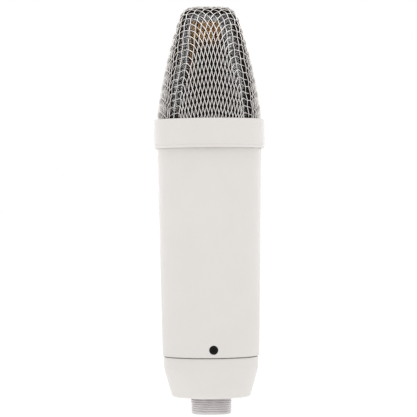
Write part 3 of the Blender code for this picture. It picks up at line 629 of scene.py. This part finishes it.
def ring_directions(count, down, front):
    """Directions of the nodes of one ring, in the side panel or in the front panel between two ridges.
    Near the apex they are those of a flat sheet. Lower down they are spaced along the surface, wider
    next to the ridges, where the cells stay square."""
    reach = (count - 0.5) * CELL
    half = math.pi / 2 - ridge_angle(reach) if front else ridge_angle(reach)
    middle = math.pi / 2 if front else 0.0
    share = (2 * np.arange(count) + 1 - count) / count
    flat = np.arctan(share * math.tan(half))
    sweep = np.linspace(-half, half, SAMPLES)
    path = head_point(np.full(SAMPLES, down), middle + sweep, WEAVE_INSET)
    length = np.concatenate([[0], np.cumsum(np.linalg.norm(np.diff(path, axis=0), axis=1))])
    spots = np.linspace(-1 + 1 / count, 1 - 1 / count, SAMPLES)
    from_ridge = (1 - np.abs(spots)) * count * CELL / 2
    widening = WIDENING * ease((reach - WIDE_FROM) / WIDE_OVER)
    spread = 1 + widening * np.exp(-((from_ridge / WIDENED) ** 2))
    sums = np.concatenate([[0], np.cumsum((spread[1:] + spread[:-1]) / 2)])
    end = CELL / 2 * (SKIRT_END if reach > SKIRT_FROM else 1)
    at = end + np.interp(share, spots, sums / sums[-1]) * (length[-1] - 2 * end)
    even = np.interp(at, length, sweep)
    turn = flat + (even - flat) * ease((reach - EVEN_FROM) / EVEN_OVER)
    return middle + (-turn if front else turn)


def lay_sheet():
    """Nodes of the sheet in its own square numbering. Ring after ring, each node is slid down the head
    until it is one cell from the two nodes above it. The half not laid is the same turned half round."""
    size = 2 * RINGS
    nodes = np.full((size, size, 3), np.nan)
    depth = np.zeros((size, size))
    down = FIRST_DOWN
    for count in range(1, RINGS + 1):
        a = np.arange(count)
        b = count - 1 - a
        for front in (True, False):
            angle = ring_directions(count, down, front)
            rows, columns = RINGS + a, RINGS - 1 - b if front else RINGS + b
            toward = 1 if front else -1
            above = ((rows - 1, columns, a > 0), (rows, columns + toward, b > 0))
            near = np.max([np.where(real, depth[r, c], 0) for r, c, real in above], axis=0)
            far = near + DOWN_SPAN
            for _ in range(30):
                middle = (near + far) / 2
                here = head_point(middle, angle, WEAVE_INSET)
                if count == 1:
                    beyond = np.hypot(here[:, 0], here[:, 1]) > CELL / math.sqrt(2)
                else:
                    gaps = [np.linalg.norm(here - nodes[r, c], axis=1) for r, c, _ in above]
                    gaps = [np.where(real, gap, 0) for gap, (_, _, real) in zip(gaps, above)]
                    beyond = sum(gaps) / sum(real for _, _, real in above) > CELL
                far, near = np.where(beyond, middle, far), np.where(beyond, near, middle)
            nodes[rows, columns] = head_point(near, angle, WEAVE_INSET)
            depth[rows, columns] = near
        down = min(near[count // 2] * NEXT_RATIO, 1.0)
    return np.where(np.isfinite(nodes), nodes, nodes[::-1, ::-1] * (-1, -1, 1))


def settle(nodes, steps=60):
    """Pulls every cell side to the same length, and keeps each cell at least as wide as its wires allow."""
    size = len(nodes)
    real = np.isfinite(nodes[..., 0])
    nodes = np.where(real[..., None], nodes, 0.0)

    def pairs(di, dj):
        first = np.s_[: size - di, max(0, -dj) : size - max(0, dj)]
        second = np.s_[di:, max(0, dj) : size + min(0, dj)]
        return first, second, real[first] & real[second]

    sides, diagonals = [pairs(1, 0), pairs(0, 1)], [pairs(1, 1), pairs(1, -1)]
    for _ in range(steps):
        move, hits = np.zeros_like(nodes), np.zeros((size, size))
        for group, target in ((sides, CELL), (diagonals, LOCKED_WIDTH)):
            for first, second, both in group:
                gap = nodes[second] - nodes[first]
                length = np.maximum(np.linalg.norm(gap, axis=-1), 1e-9)
                weight = both * (1.0 if group is sides else length < target)
                pull = ((length - target) / length * weight / 2)[..., None] * gap
                move[first] += pull
                move[second] -= pull
                hits[first] += weight
                hits[second] += weight
        shifted = onto_head(nodes + OVERSHOOT * move / np.maximum(hits, 1)[..., None], WEAVE_INSET)
        nodes = np.where(real[..., None], shifted, 0.0)
    return np.where(real[..., None], nodes, np.nan)


def trimmed(path, out):
    """The part of a wire above the grille's foot, with its ends cut level there."""
    high = np.flatnonzero(path[:, 2] > GRILLE_FOOT)
    if len(high) < 3:
        return None
    first, last = high[0], high[-1]
    ends = []
    for inner, outer in ((first, first - 1), (last, last + 1)):
        if 0 <= outer < len(path) and np.isfinite(path[outer]).all():
            share = (path[inner, 2] - GRILLE_FOOT) / (path[inner, 2] - path[outer, 2])
            ends.append(path[inner] + share * (path[outer] - path[inner]))
        else:
            ends.append(None)
    path, out = path[first : last + 1], out[first : last + 1]
    if ends[0] is not None:
        path, out = np.vstack([ends[0], path]), np.vstack([out[:1], out])
    if ends[1] is not None:
        path, out = np.vstack([path, ends[1]]), np.vstack([out, out[-1:]])
    return path, out


def weave(nodes, crimp, per_cell, inset):
    """Wires in both directions through the nodes, with per_cell points for each cell, passing over and
    under each other in turn."""
    families = []
    for sign, grid in ((1, nodes), (-1, nodes.transpose(1, 0, 2))):
        lines = []
        for number in range(grid.shape[1]):
            line = grid[:, number]
            real = np.flatnonzero(np.isfinite(line[:, 0]))
            if len(real) < FEWEST_NODES:
                continue
            line = line[real[0] : real[-1] + 1]
            at = np.arange((len(line) - 1) * per_cell + 1) / per_cell
            path = resample(line, at)
            out = outward(path, inset)
            wave = sign * crimp * np.cos(math.pi * (at + real[0] + number))
            kept = trimmed(path + out * wave[:, None], out)
            if kept:
                lines.append(kept)
        families.append(lines)
    return families


def make_head():
    """An open outer weave, and inside it a finer one drawn over the head in the same way."""
    sheet = settle(lay_sheet())
    for label, lines in zip("ab", weave(sheet, WIRE_CRIMP, POINTS_PER_CELL, WEAVE_INSET)):
        piece = tubes(f"outer_weave_{label}", lines, WIRE_R, 8, MESH_WIRE)
        stands_for(piece, "outer_grille", "body")
    at = np.arange(0, len(sheet) - 1, 1 / FINE_PER_CELL)
    fine = resample(resample(sheet, at).transpose(1, 0, 2), at).transpose(1, 0, 2)
    fine = fine - outward(fine, WEAVE_INSET) * (FINE_INSET - WEAVE_INSET)
    for label, lines in zip("ab", weave(fine, FINE_CRIMP, 1, FINE_INSET)):
        # The inner weave's near-black material is painted shade for the inside of the head.
        piece = tubes(f"inner_weave_{label}", lines, FINE_R, 4, FINE_WIRE_PAINTED_SHADE)
        stands_for(piece, "inner_grille", "body")


# ---- painted housing ----
SLEEVE_FOOT_R, SLEEVE_TAPER, SLEEVE_WALL = 22.55, 0.01702, 1.6
RAIL_SCREW_R = 19.05
FLANGE_SCREW_R = 13.4


def sideways(piece, side):
    """Turns a piece modelled along +Z so that it points along +X or -X at the side screws' height."""
    turn = Matrix.Rotation(math.radians(90 * side), 4, "Y")
    return placed(piece, Matrix.Translation((0, 0, SCREW_Z * MM)) @ turn)


def sleeve_radius(z):
    return SLEEVE_FOOT_R + (z - SLEEVE_LOW.z) * SLEEVE_TAPER


def make_sleeve():
    """Tapered tube with a rounded foot, countersunk on both sides for the side screws."""
    top, bottom, edge = SLEEVE_HIGH.z, SLEEVE_LOW.z - 0.1, 0.2
    profile = [(sleeve_radius(z), z) for z in (top, SCREW_Z + 5, SCREW_Z - 3.2)]
    profile += arc((SLEEVE_FOOT_R - edge, bottom + edge), edge, 0, -90, 5)
    rebate = bottom + 1.4
    profile += [(21.9, bottom), (21.9, rebate), (sleeve_radius(rebate) - SLEEVE_WALL, rebate)]
    profile += [(sleeve_radius(top) - SLEEVE_WALL, top)]
    sleeve = turned("painted_sleeve", profile, WHITE_PAINT)
    cutters = []
    funnel = [(0, 30), (2.1, 30), (2.1, 22.25), (1.45, 21.15), (1.45, 15), (0, 15)]
    steps = 64
    # Half a step of turn keeps a cutter's edges off the sleeve's edge that crosses the screw's axis.
    for side in (1, -1):
        cutter = turned("funnel", funnel, WHITE_PAINT, steps)
        placed(cutter, Matrix.Rotation(math.pi / steps, 4, "Z"))
        cutters.append(sideways(cutter, side))
    cut(sleeve, *cutters)
    return stands_for(rounded(sleeve, 0.12, 2), "body_sleeve", "body")


def make_end_cap():
    """Tapered base with a neck inside the sleeve; its floor carries the connector."""
    bottom, neck_top = CAP_LOW.z, CAP_HIGH.z
    profile = [(17.5, neck_top), (20.2, neck_top), (20.6, neck_top - 0.4), (20.6, 26.5)]
    profile += arc((21.82, 26.32), 0.18, 90, 0, 4)
    profile += [(22.0, 22.0), (21.93, 21.4), (21.8, 20.8), (21.62, 20.0), (21.4, 19.2)]
    profile += arc((17.1, bottom + 1.5), 1.5, -15, -90, 10)
    profile += [(10.1, bottom), (9.9, bottom + 0.2), (9.9, 12.0), (16.9, 12.0), (17.5, 17.0)]
    cap = turned("painted_end_cap", profile, WHITE_PAINT)
    cutters = []
    for side in (1, -1):
        rail_x, flange_y = side * RAIL_SCREW_R, side * FLANGE_SCREW_R
        for name, radius, start, end in (
            ("screw_hole", 1.35, (side * 15, 0, SCREW_Z), (side * 23, 0, SCREW_Z)),
            ("rail_hole", 1.2, (rail_x, 0, 32.2), (rail_x, 0, 37)),
            ("flange_hole", 1.25, (0, flange_y, 9.9), (0, flange_y, 14)),
        ):
            cutters.append(rod(name, radius, start, end, WHITE_PAINT))
    return stands_for(cut(cap, *cutters), "end_cap", "body")


def make_collar():
    """Ring round the top of the sleeve, with a fine groove above its slanted and rounded lower lip. Inside
    it has a shelf for the head and the sleeve."""
    radius, bottom, top = COLLAR_HIGH.x, COLLAR_LOW.z, COLLAR_HIGH.z
    groove_r, inner_r = radius - 0.16, 24.65
    profile = [(radius - 0.4, top)] + arc((radius - 0.3, top - 0.3), 0.3, 70, 0, 5)
    profile += [(radius, bottom + 1.75), (groove_r, bottom + 1.6), (groove_r, bottom + 1.45)]
    for inward, height, first, last, count in ((0.35, 1.05, 55, -35, 8), (0.75, 0.35, -35, -90, 5)):
        profile += arc((radius - inward, bottom + height), 0.35, first, last, count)
    profile += [(inner_r, bottom), (inner_r, 131.0), (22.0, 131.0), (22.0, 133.5), (inner_r, 133.5)]
    profile += [(inner_r, top - 0.15), (inner_r + 0.15, top)]
    collar = turned("painted_collar", profile, WHITE_PAINT)
    return stands_for(collar, "grille_collar", "body")


def make_side_screw(label, side):
    """Black countersunk screw with a hexagon socket, flush with the sleeve."""
    flush = 22.5
    profile = [(0, flush), (1.88, flush), (2.0, flush - 0.12), (2.0, flush - 0.24), (1.0, flush - 1.25)]
    profile += [(1.0, 18.2), (0, 18.2)]
    screw = turned(f"socket_screw_{label}", profile, BLACK_OXIDE, 48)
    socket = rod("socket", 1.0, (0, 0, flush - 0.9), (0, 0, flush + 1), BLACK_OXIDE, 6)
    profile = [(0, flush + 0.3), (1.3, flush + 0.3), (0.9, flush - 0.16), (0, flush - 0.16)]
    lead_in = turned("lead_in", profile, BLACK_OXIDE, 48)
    cut(screw, socket, lead_in)
    return stands_for(sideways(screw, side), f"side_screw_{label}", "body")


# ---- connector ----
THREAD_TOP, THREAD_FOOT, PITCH = 8.0, 0.5, 1.0
THREAD_ROWS = 76
THREAD_FADE = 0.6
CREST_FULLNESS = 0.6
ROOT_R, CREST_R = 9.1, 9.6


def make_barrel():
    """Threaded tube with an inside flange and a keyway. The thread is a helix that fades at both ends."""
    profile = [(9.4, BARREL_HIGH.z), (9.4, 14.3), (16.2, 14.3), (16.4, 14.1), (16.4, 12.5), (16.2, 12.3)]
    profile += [(9.4, 12.3), (9.4, 8.4)]
    step = (THREAD_TOP - THREAD_FOOT) / THREAD_ROWS
    profile += [(ROOT_R, THREAD_TOP - step * i) for i in range(THREAD_ROWS + 1)]
    profile += [(ROOT_R, 0.25), (ROOT_R - 0.25, 0.0), (8.5, 0.0), (8.1, 0.5), (8.1, 15.2), (8.7, 15.2)]
    profile += [(8.7, BARREL_HIGH.z)]
    barrel = turned("threaded_barrel", profile, NICKEL, 144)
    for corner in barrel.data.vertices:
        x, y, z = corner.co / MM
        if THREAD_FOOT < z < THREAD_TOP and math.hypot(x, y) > ROOT_R - 0.1:
            phase = z / PITCH + math.atan2(y, x) / (2 * math.pi)
            crest = (0.5 + 0.5 * math.cos(2 * math.pi * phase)) ** CREST_FULLNESS
            fade = ease((THREAD_TOP - z) / THREAD_FADE) * ease((z - THREAD_FOOT) / THREAD_FADE)
            grown = 1 + (CREST_R - ROOT_R) * crest * fade / ROOT_R
            corner.co.xy *= grown
    cutters = [box("keyway", (-1.3, 7.5, -1), (1.3, 8.55, 13), NICKEL)]
    for y in (FLANGE_SCREW_R, -FLANGE_SCREW_R):
        cutters.append(rod("flange_hole", 1.2, (0, y, 11), (0, y, 16), NICKEL))
    cut(barrel, *cutters)
    return stands_for(smooth(barrel, 50), "connector_barrel", "body")


def pin_place(number):
    low, high = corners(f"connector_pin_{number}")
    return (low.x + high.x) / 2, (low.y + high.y) / 2


def make_insert():
    """Moulded disc that carries the three pins. Its lower face is dished round a small hollow boss."""
    low, high = 15.5, 21.0
    dish = low + 0.4
    profile = [(0, high), (8.4, high), (8.4, low + 0.3), (8.1, low), (7.2, low), (7.0, dish), (2.2, dish)]
    profile += [(2.0, low), (1.4, low), (1.4, low + 1.2), (0, low + 1.2)]
    insert = turned("moulded_insert", profile, BLACK_PLASTIC, 96)
    cutters = []
    for number in (1, 2, 3):
        x, y = pin_place(number)
        cutters.append(rod("pin_hole", 1.5, (x, y, low - 1), (x, y, high + 1), BLACK_PLASTIC))
    return stands_for(cut(insert, *cutters), "connector_insert", "body")


def make_pin(number):
    """Contact pin with a domed tip and a solder cup at its upper end."""
    low, high = corners(f"connector_pin_{number}")
    profile = [(0, high.z - 2.2), (0.75, high.z - 2.2), (0.75, high.z), (1.1, high.z), (1.2, high.z - 0.1)]
    profile += arc((0.6, low.z + 0.6), 0.6, 0, -90, 8) + [(0, low.z)]
    pin = turned(f"contact_pin_{number}", profile, PIN_NICKEL, 40)
    x, y = pin_place(number)
    placed(pin, Matrix.Translation((x * MM, y * MM, 0)))
    return stands_for(pin, f"connector_pin_{number}", "body")


# ---- capsule, modelled along Z from the drum's middle with its front face up ----
RING_SCREWS = 8
RING_SCREW_R = 14.5
VENT_R = 0.6
SLOT_HALF = 0.14


def make_drum():
    """Brass backplate drum with two shallow grooves round it."""
    half = (DRUM_HIGH.y - DRUM_LOW.y) / 2
    groove_r = CAPSULE_R - 0.25
    rim = [(CAPSULE_R - 0.3, half), (CAPSULE_R, half - 0.3)]
    for z in (half - 1.0, 1.0 - half):
        rim += [(CAPSULE_R, z + 0.25), (groove_r, z + 0.1), (groove_r, z - 0.1), (CAPSULE_R, z - 0.25)]
    profile = [(0, half - 3.0), (1.3, half - 3.0), (1.3, half)] + rim
    profile += [(CAPSULE_R, 0.3 - half), (CAPSULE_R - 0.3, -half), (0, -half)]
    return stands_for(facing(turned("brass_drum", profile, BRASS)), "capsule_drum", "capsule")


def make_diaphragm():
    """Gold film round the centre screw, a little thicker outside the coated field."""
    low, high = 4.3, 4.6
    coated = high - 0.04
    profile = [(15.2, high), (15.2, low), (1.3, low), (1.3, coated), (11.6, coated), (11.7, high)]
    film = facing(turned("gold_diaphragm", profile, GOLD_FILM))
    return stands_for(film, "diaphragm", "capsule")


def small_screw(name, x, y, z, look):
    """Slotted pan head seen on the capsule's face, as a closed solid."""
    head = turned(name, [(0, z + 0.55), (0.55, z + 0.5), (0.85, z + 0.25), (0.9, z), (0, z)], look, 32)
    placed(head, Matrix.Translation((x * MM, y * MM, 0)))
    slot = box("slot", (x - 1.2, y - SLOT_HALF, z + 0.3), (x + 1.2, y + SLOT_HALF, z + 0.9), look)
    return cut(head, slot)


def ring_screw_places():
    return [polar(RING_SCREW_R, 360 * (i + 0.5) / RING_SCREWS, 0) for i in range(RING_SCREWS)]


def make_front_ring():
    """Clamping ring with recessed screws and a stepped mouth."""
    low, high, edge = 4.9, 6.4, 0.4
    profile = [(12.9, high), (CAPSULE_R - edge, high), (CAPSULE_R, high - edge), (CAPSULE_R, low)]
    profile += [(12.5, low), (12.5, high - 0.5)]
    ring = turned("brass_clamp_ring", profile, BRASS)
    spots = ring_screw_places()
    seat = high - 0.6
    seats = [rod("seat", 1.05, (p.x, p.y, seat), (p.x, p.y, high + 1), BRASS) for p in spots]
    cut(ring, *seats)
    stands_for(facing(rounded(ring, 0.06, 1)), "front_clamp_ring", "capsule")
    for number, p in enumerate(spots, 1):
        screw = small_screw(f"ring_screw_{number}", p.x, p.y, seat, BRASS)
        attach(facing(screw), "capsule")


def make_rear_plate():
    """Rear cover of the capsule, with three rings of vents and seats for its screws."""
    low, high = -6.4, -4.3
    profile = [(CAPSULE_R, high), (CAPSULE_R, low + 0.4), (CAPSULE_R - 0.4, low), (3.0, low), (3.0, high)]
    plate = turned("perforated_plate", profile, BRASS)
    holes = []
    for radius, count in ((6.0, 12), (8.8, 18), (11.6, 24)):
        for i in range(count):
            p = polar(radius, 360 * i / count, 0)
            holes.append(rod("vent", VENT_R, (p.x, p.y, low - 1), (p.x, p.y, high + 1), BRASS, 16))
    for p in ring_screw_places():
        holes.append(rod("seat", 1.0, (p.x, p.y, low - 1), (p.x, p.y, low + 0.5), BRASS, 24))
    return stands_for(facing(cut(plate, joined(holes))), "rear_vent_plate", "capsule")


def make_centre_terminal():
    """Small slotted screw through the diaphragm."""
    under = 4.9
    profile = [(0, under + 1.0), (1.5, under + 1.0), (1.9, under + 0.75), (2.0, under + 0.5), (2.0, under)]
    profile += [(0.9, under), (0.9, 1.6), (0, 1.6)]
    screw = turned("centre_screw", profile, BRASS, 40)
    cut(screw, box("slot", (-2.4, -0.22, under + 0.55), (2.4, 0.22, under + 2), BRASS))
    return stands_for(facing(screw), "centre_terminal", "capsule")


# ---- leads ----
# No lead runs along this direction, so it can set how each one's round section is turned.
ACROSS_ALL_LEADS = (0.31, 0.87, 0.38)
SIGNAL_UPPER = [(12.8, -5.0, 138.6), (10.5, -8.2, 143), (6, -9.4, 149), (2.4, -9.2, 158), (1.0, -8.4, 165)]
POLARITY_UPPER = [(-12.8, -1.4, 138.6), (-14, 3, 142), (-12.8, 6.2, 149), (-9, 5.7, 160.5)]
LOWER = [(5, -2.1, 120.5), (4.2, -2.6, 125), (2.8, -2.4, 131), (7.5, -3, 132.3), (12.8, -3.2, 132.8)]


def lead(name, node, stops, look, radius=0.4):
    """Insulated lead through its stops, in place of the CAD node."""
    stops = np.array(stops, float)
    path = resample(stops, np.arange((len(stops) - 1) * 10 + 1) / 10)
    out = np.tile(ACROSS_ALL_LEADS, (len(path), 1))
    piece = tubes(name, [(path, out)], radius, 16, look)
    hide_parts(node)
    return piece


def bending_lead(name, node, stops, look):
    """A lead whose ends sit on two bodies; its mesh is baked where it lies, attached to neither."""
    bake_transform(lead(name, node, stops, look))


def make_leads():
    """Leads from the pins to the header, and the capsule's two leads, each in a lower and an upper part."""
    for number in (1, 2, 3):
        x, y = pin_place(number)
        end_x = (number - 2) * 2.6
        stops = [(x, y, 25.4), (x, y - 1, 29), (end_x, -6, 34.5), (end_x, -3.6, 38.3)]
        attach(lead(f"output_wire_{number}", f"output_lead_{number}", stops, LEAD_RED, 0.5), "body")
    for label, side, look in (("signal", 1, LEAD_RED), ("polarity", -1, LEAD_BLACK)):
        stops = [(side * x, y, z) for x, y, z in LOWER]
        bending_lead(f"{label}_wire_lower", f"{label}_lead_lower", stops, look)
    for label, stops, look in (("signal", SIGNAL_UPPER, LEAD_RED), ("polarity", POLARITY_UPPER, LEAD_BLACK)):
        bending_lead(f"{label}_wire_upper", f"{label}_lead_upper", stops, look)


# ---- CAD parts whose shape is kept ----
def dress(node, look, edge=0.0):
    """Gives a CAD part its material, and rounds its sharp edges by edge millimetres."""
    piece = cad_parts[node]
    for holder in piece.material_slots:
        holder.material = look
    if edge:
        piece.modifiers.new("weld", "WELD").merge_threshold = 0.01 * MM
        bevel_edges(piece, edge, 2, ROUNDED_CREASE)


def dress_cad_parts():
    dress("cap_gasket", GREY_RUBBER)
    dress("grille_clamp_ring", STEEL)
    dress("insert_clip", STEEL, 0.08)
    for side in ("right", "left"):
        dress(f"frame_rail_{side}", STEEL, 0.1)
        for label in ("rail_screw", "deck_screw", "board_screw_low", "board_screw_high"):
            dress(f"{label}_{side}", STEEL, 0.06)
        dress(f"output_transistor_{side}", BLACK_PLASTIC, 0.05)
    for side in ("rear", "front"):
        dress(f"barrel_screw_{side}", STEEL, 0.06)
    dress("main_board", BOARD_GREEN, 0.05)
    dress("output_header", BLACK_PLASTIC, 0.1)
    dress("coupling_capacitor", FILM_RED, 0.3)
    for side in ("upper", "lower"):
        dress(f"reservoir_capacitor_{side}", SLEEVE_BLUE, 0.15)
    dress("filter_coil", FERRITE, 0.1)
    dress("input_shield", STEEL, 0.15)
    dress("capsule_deck", BLACK_PLASTIC, 0.2)
    dress("floating_platform", BLACK_PLASTIC, 0.2)
    dress("stem_bush", RUBBER, 0.1)
    dress("capsule_saddle", BLACK_PLASTIC, 0.15)
    for number in (1, 2, 3):
        dress(f"isolator_pin_{number}", STEEL, 0.08)
        dress(f"rubber_grommet_{number}", RUBBER, 0.1)
    for label in ("signal", "polarity"):
        dress(f"{label}_terminal", BRASS, 0.06)


# ---- studio ----
FLOOR_HALF = 40.0
FLOOR_GLOW = 0.82
FLOOR_DROP = 0.0003
LIGHT_TARGET = Vector((0, 0, 0.1))


def make_stage():
    """Pale floor with an even glow of its own, which can't be seen from below."""
    mesh = bpy.data.meshes.new("studio_floor")
    signs = ((-1, -1), (1, -1), (1, 1), (-1, 1))
    mesh.from_pydata([(x * FLOOR_HALF, y * FLOOR_HALF, 0) for x, y in signs], [], [(0, 1, 2, 3)])
    floor = bpy.data.objects.new("studio_floor", mesh)
    floor.location.z = -FLOOR_DROP
    bpy.context.scene.collection.objects.link(floor)
    look = bpy.data.materials.new("studio_floor")
    look.use_nodes = True
    tree = look.node_tree
    shader = tree.nodes["Principled BSDF"]
    shader.inputs["Base Color"].default_value = (0.35, 0.35, 0.35, 1)
    shader.inputs["Roughness"].default_value = 0.9
    shader.inputs["Specular IOR Level"].default_value = 0.0
    shader.inputs["Emission Color"].default_value = (1, 1, 1, 1)
    shader.inputs["Emission Strength"].default_value = FLOOR_GLOW
    clear = tree.nodes.new("ShaderNodeBsdfTransparent")
    geometry = tree.nodes.new("ShaderNodeNewGeometry")
    mix = tree.nodes.new("ShaderNodeMixShader")
    tree.links.new(geometry.outputs["Backfacing"], mix.inputs["Fac"])
    tree.links.new(shader.outputs["BSDF"], mix.inputs[1])
    tree.links.new(clear.outputs["BSDF"], mix.inputs[2])
    tree.links.new(mix.outputs["Shader"], tree.nodes["Material Output"].inputs["Surface"])
    mesh.materials.append(look)


def make_light(name, size, power, place):
    """Round soft light at a place, aimed at the middle of the body and not seen itself."""
    light = bpy.data.lights.new(name, "AREA")
    light.shape = "DISK"
    light.size = size
    light.energy = power
    lamp = bpy.data.objects.new(name, light)
    bpy.context.scene.collection.objects.link(lamp)
    lamp.location = place
    lamp.rotation_mode = "QUATERNION"
    lamp.rotation_quaternion = (LIGHT_TARGET - place).to_track_quat("-Z", "Y")
    lamp.visible_camera = False
    return lamp


def make_world(seen, soft, mirrored):
    """White surroundings: what the camera sees, the soft light they cast, and what metal mirrors."""
    world = bpy.data.worlds.new("studio")
    world.use_nodes = True
    tree = world.node_tree
    glow = tree.nodes["Background"]
    glow.inputs["Color"].default_value = (1.0, 1.0, 1.0, 1.0)
    path = tree.nodes.new("ShaderNodeLightPath")
    previous = None
    for ray, strength in (("Is Glossy Ray", mirrored), ("Is Camera Ray", seen)):
        choice = tree.nodes.new("ShaderNodeMix")
        choice.inputs["A"].default_value = soft
        choice.inputs["B"].default_value = strength
        tree.links.new(path.outputs[ray], choice.inputs["Factor"])
        if previous:
            tree.links.new(previous.outputs["Result"], choice.inputs["A"])
        previous = choice
    tree.links.new(previous.outputs["Result"], glow.inputs["Strength"])
    bpy.context.scene.world = world


VIEW_AZIMUTH = 86.8
VIEW_DISTANCE = 1.12
VIEW_HEIGHT = 0.0955
VIEW_ROLL = 0.44
VIEW_LENS = 207
VIEW_SHIFT = -0.00336


def make_camera():
    """Camera level with the middle of the body, looking at its side from a little in front."""
    turn = math.radians(VIEW_AZIMUTH)
    back = Vector((math.sin(turn), -math.cos(turn), 0))
    lens = bpy.data.cameras.new("camera")
    lens.sensor_width = 36
    lens.lens = VIEW_LENS
    lens.shift_x = VIEW_SHIFT
    lens.clip_start, lens.clip_end = 0.05, 100
    camera = bpy.data.objects.new("camera", lens)
    bpy.context.scene.collection.objects.link(camera)
    level_view = (-back).to_track_quat("-Z", "Y").to_matrix().to_4x4()
    roll = Matrix.Rotation(math.radians(-VIEW_ROLL), 4, "Z")
    place = back * VIEW_DISTANCE + Vector((0, 0, VIEW_HEIGHT))
    camera.matrix_world = Matrix.Translation(place) @ level_view @ roll
    bpy.context.scene.camera = camera
    return back


def make_studio():
    """Floor, surroundings and camera, with a key light high on the camera's side and two even fills."""
    make_stage()
    make_world(seen=1.0, soft=0.625, mirrored=1.62)
    back = make_camera()
    across = Vector((-back.y, back.x, 0))
    make_light("key_light", 1.0, 5.2, back * 0.6 + Vector((0, 0, 1.5)))
    for name, side in (("right_light", 1), ("left_light", -1)):
        fill = make_light(name, 0.9, 2.0, across * 1.5 * side + back * 0.5 + Vector((0, 0, 0.5)))
        fill.visible_glossy = False
    scene = bpy.context.scene
    scene.view_settings.view_transform = "Standard"
    scene.view_settings.look = "None"


make_head()
make_collar()
make_sleeve()
make_end_cap()
for label, side in (("right", 1), ("left", -1)):
    make_side_screw(label, side)
make_barrel()
make_insert()
for number in (1, 2, 3):
    make_pin(number)
make_drum()
make_diaphragm()
make_front_ring()
make_rear_plate()
make_centre_terminal()
make_leads()
dress_cad_parts()
make_studio()
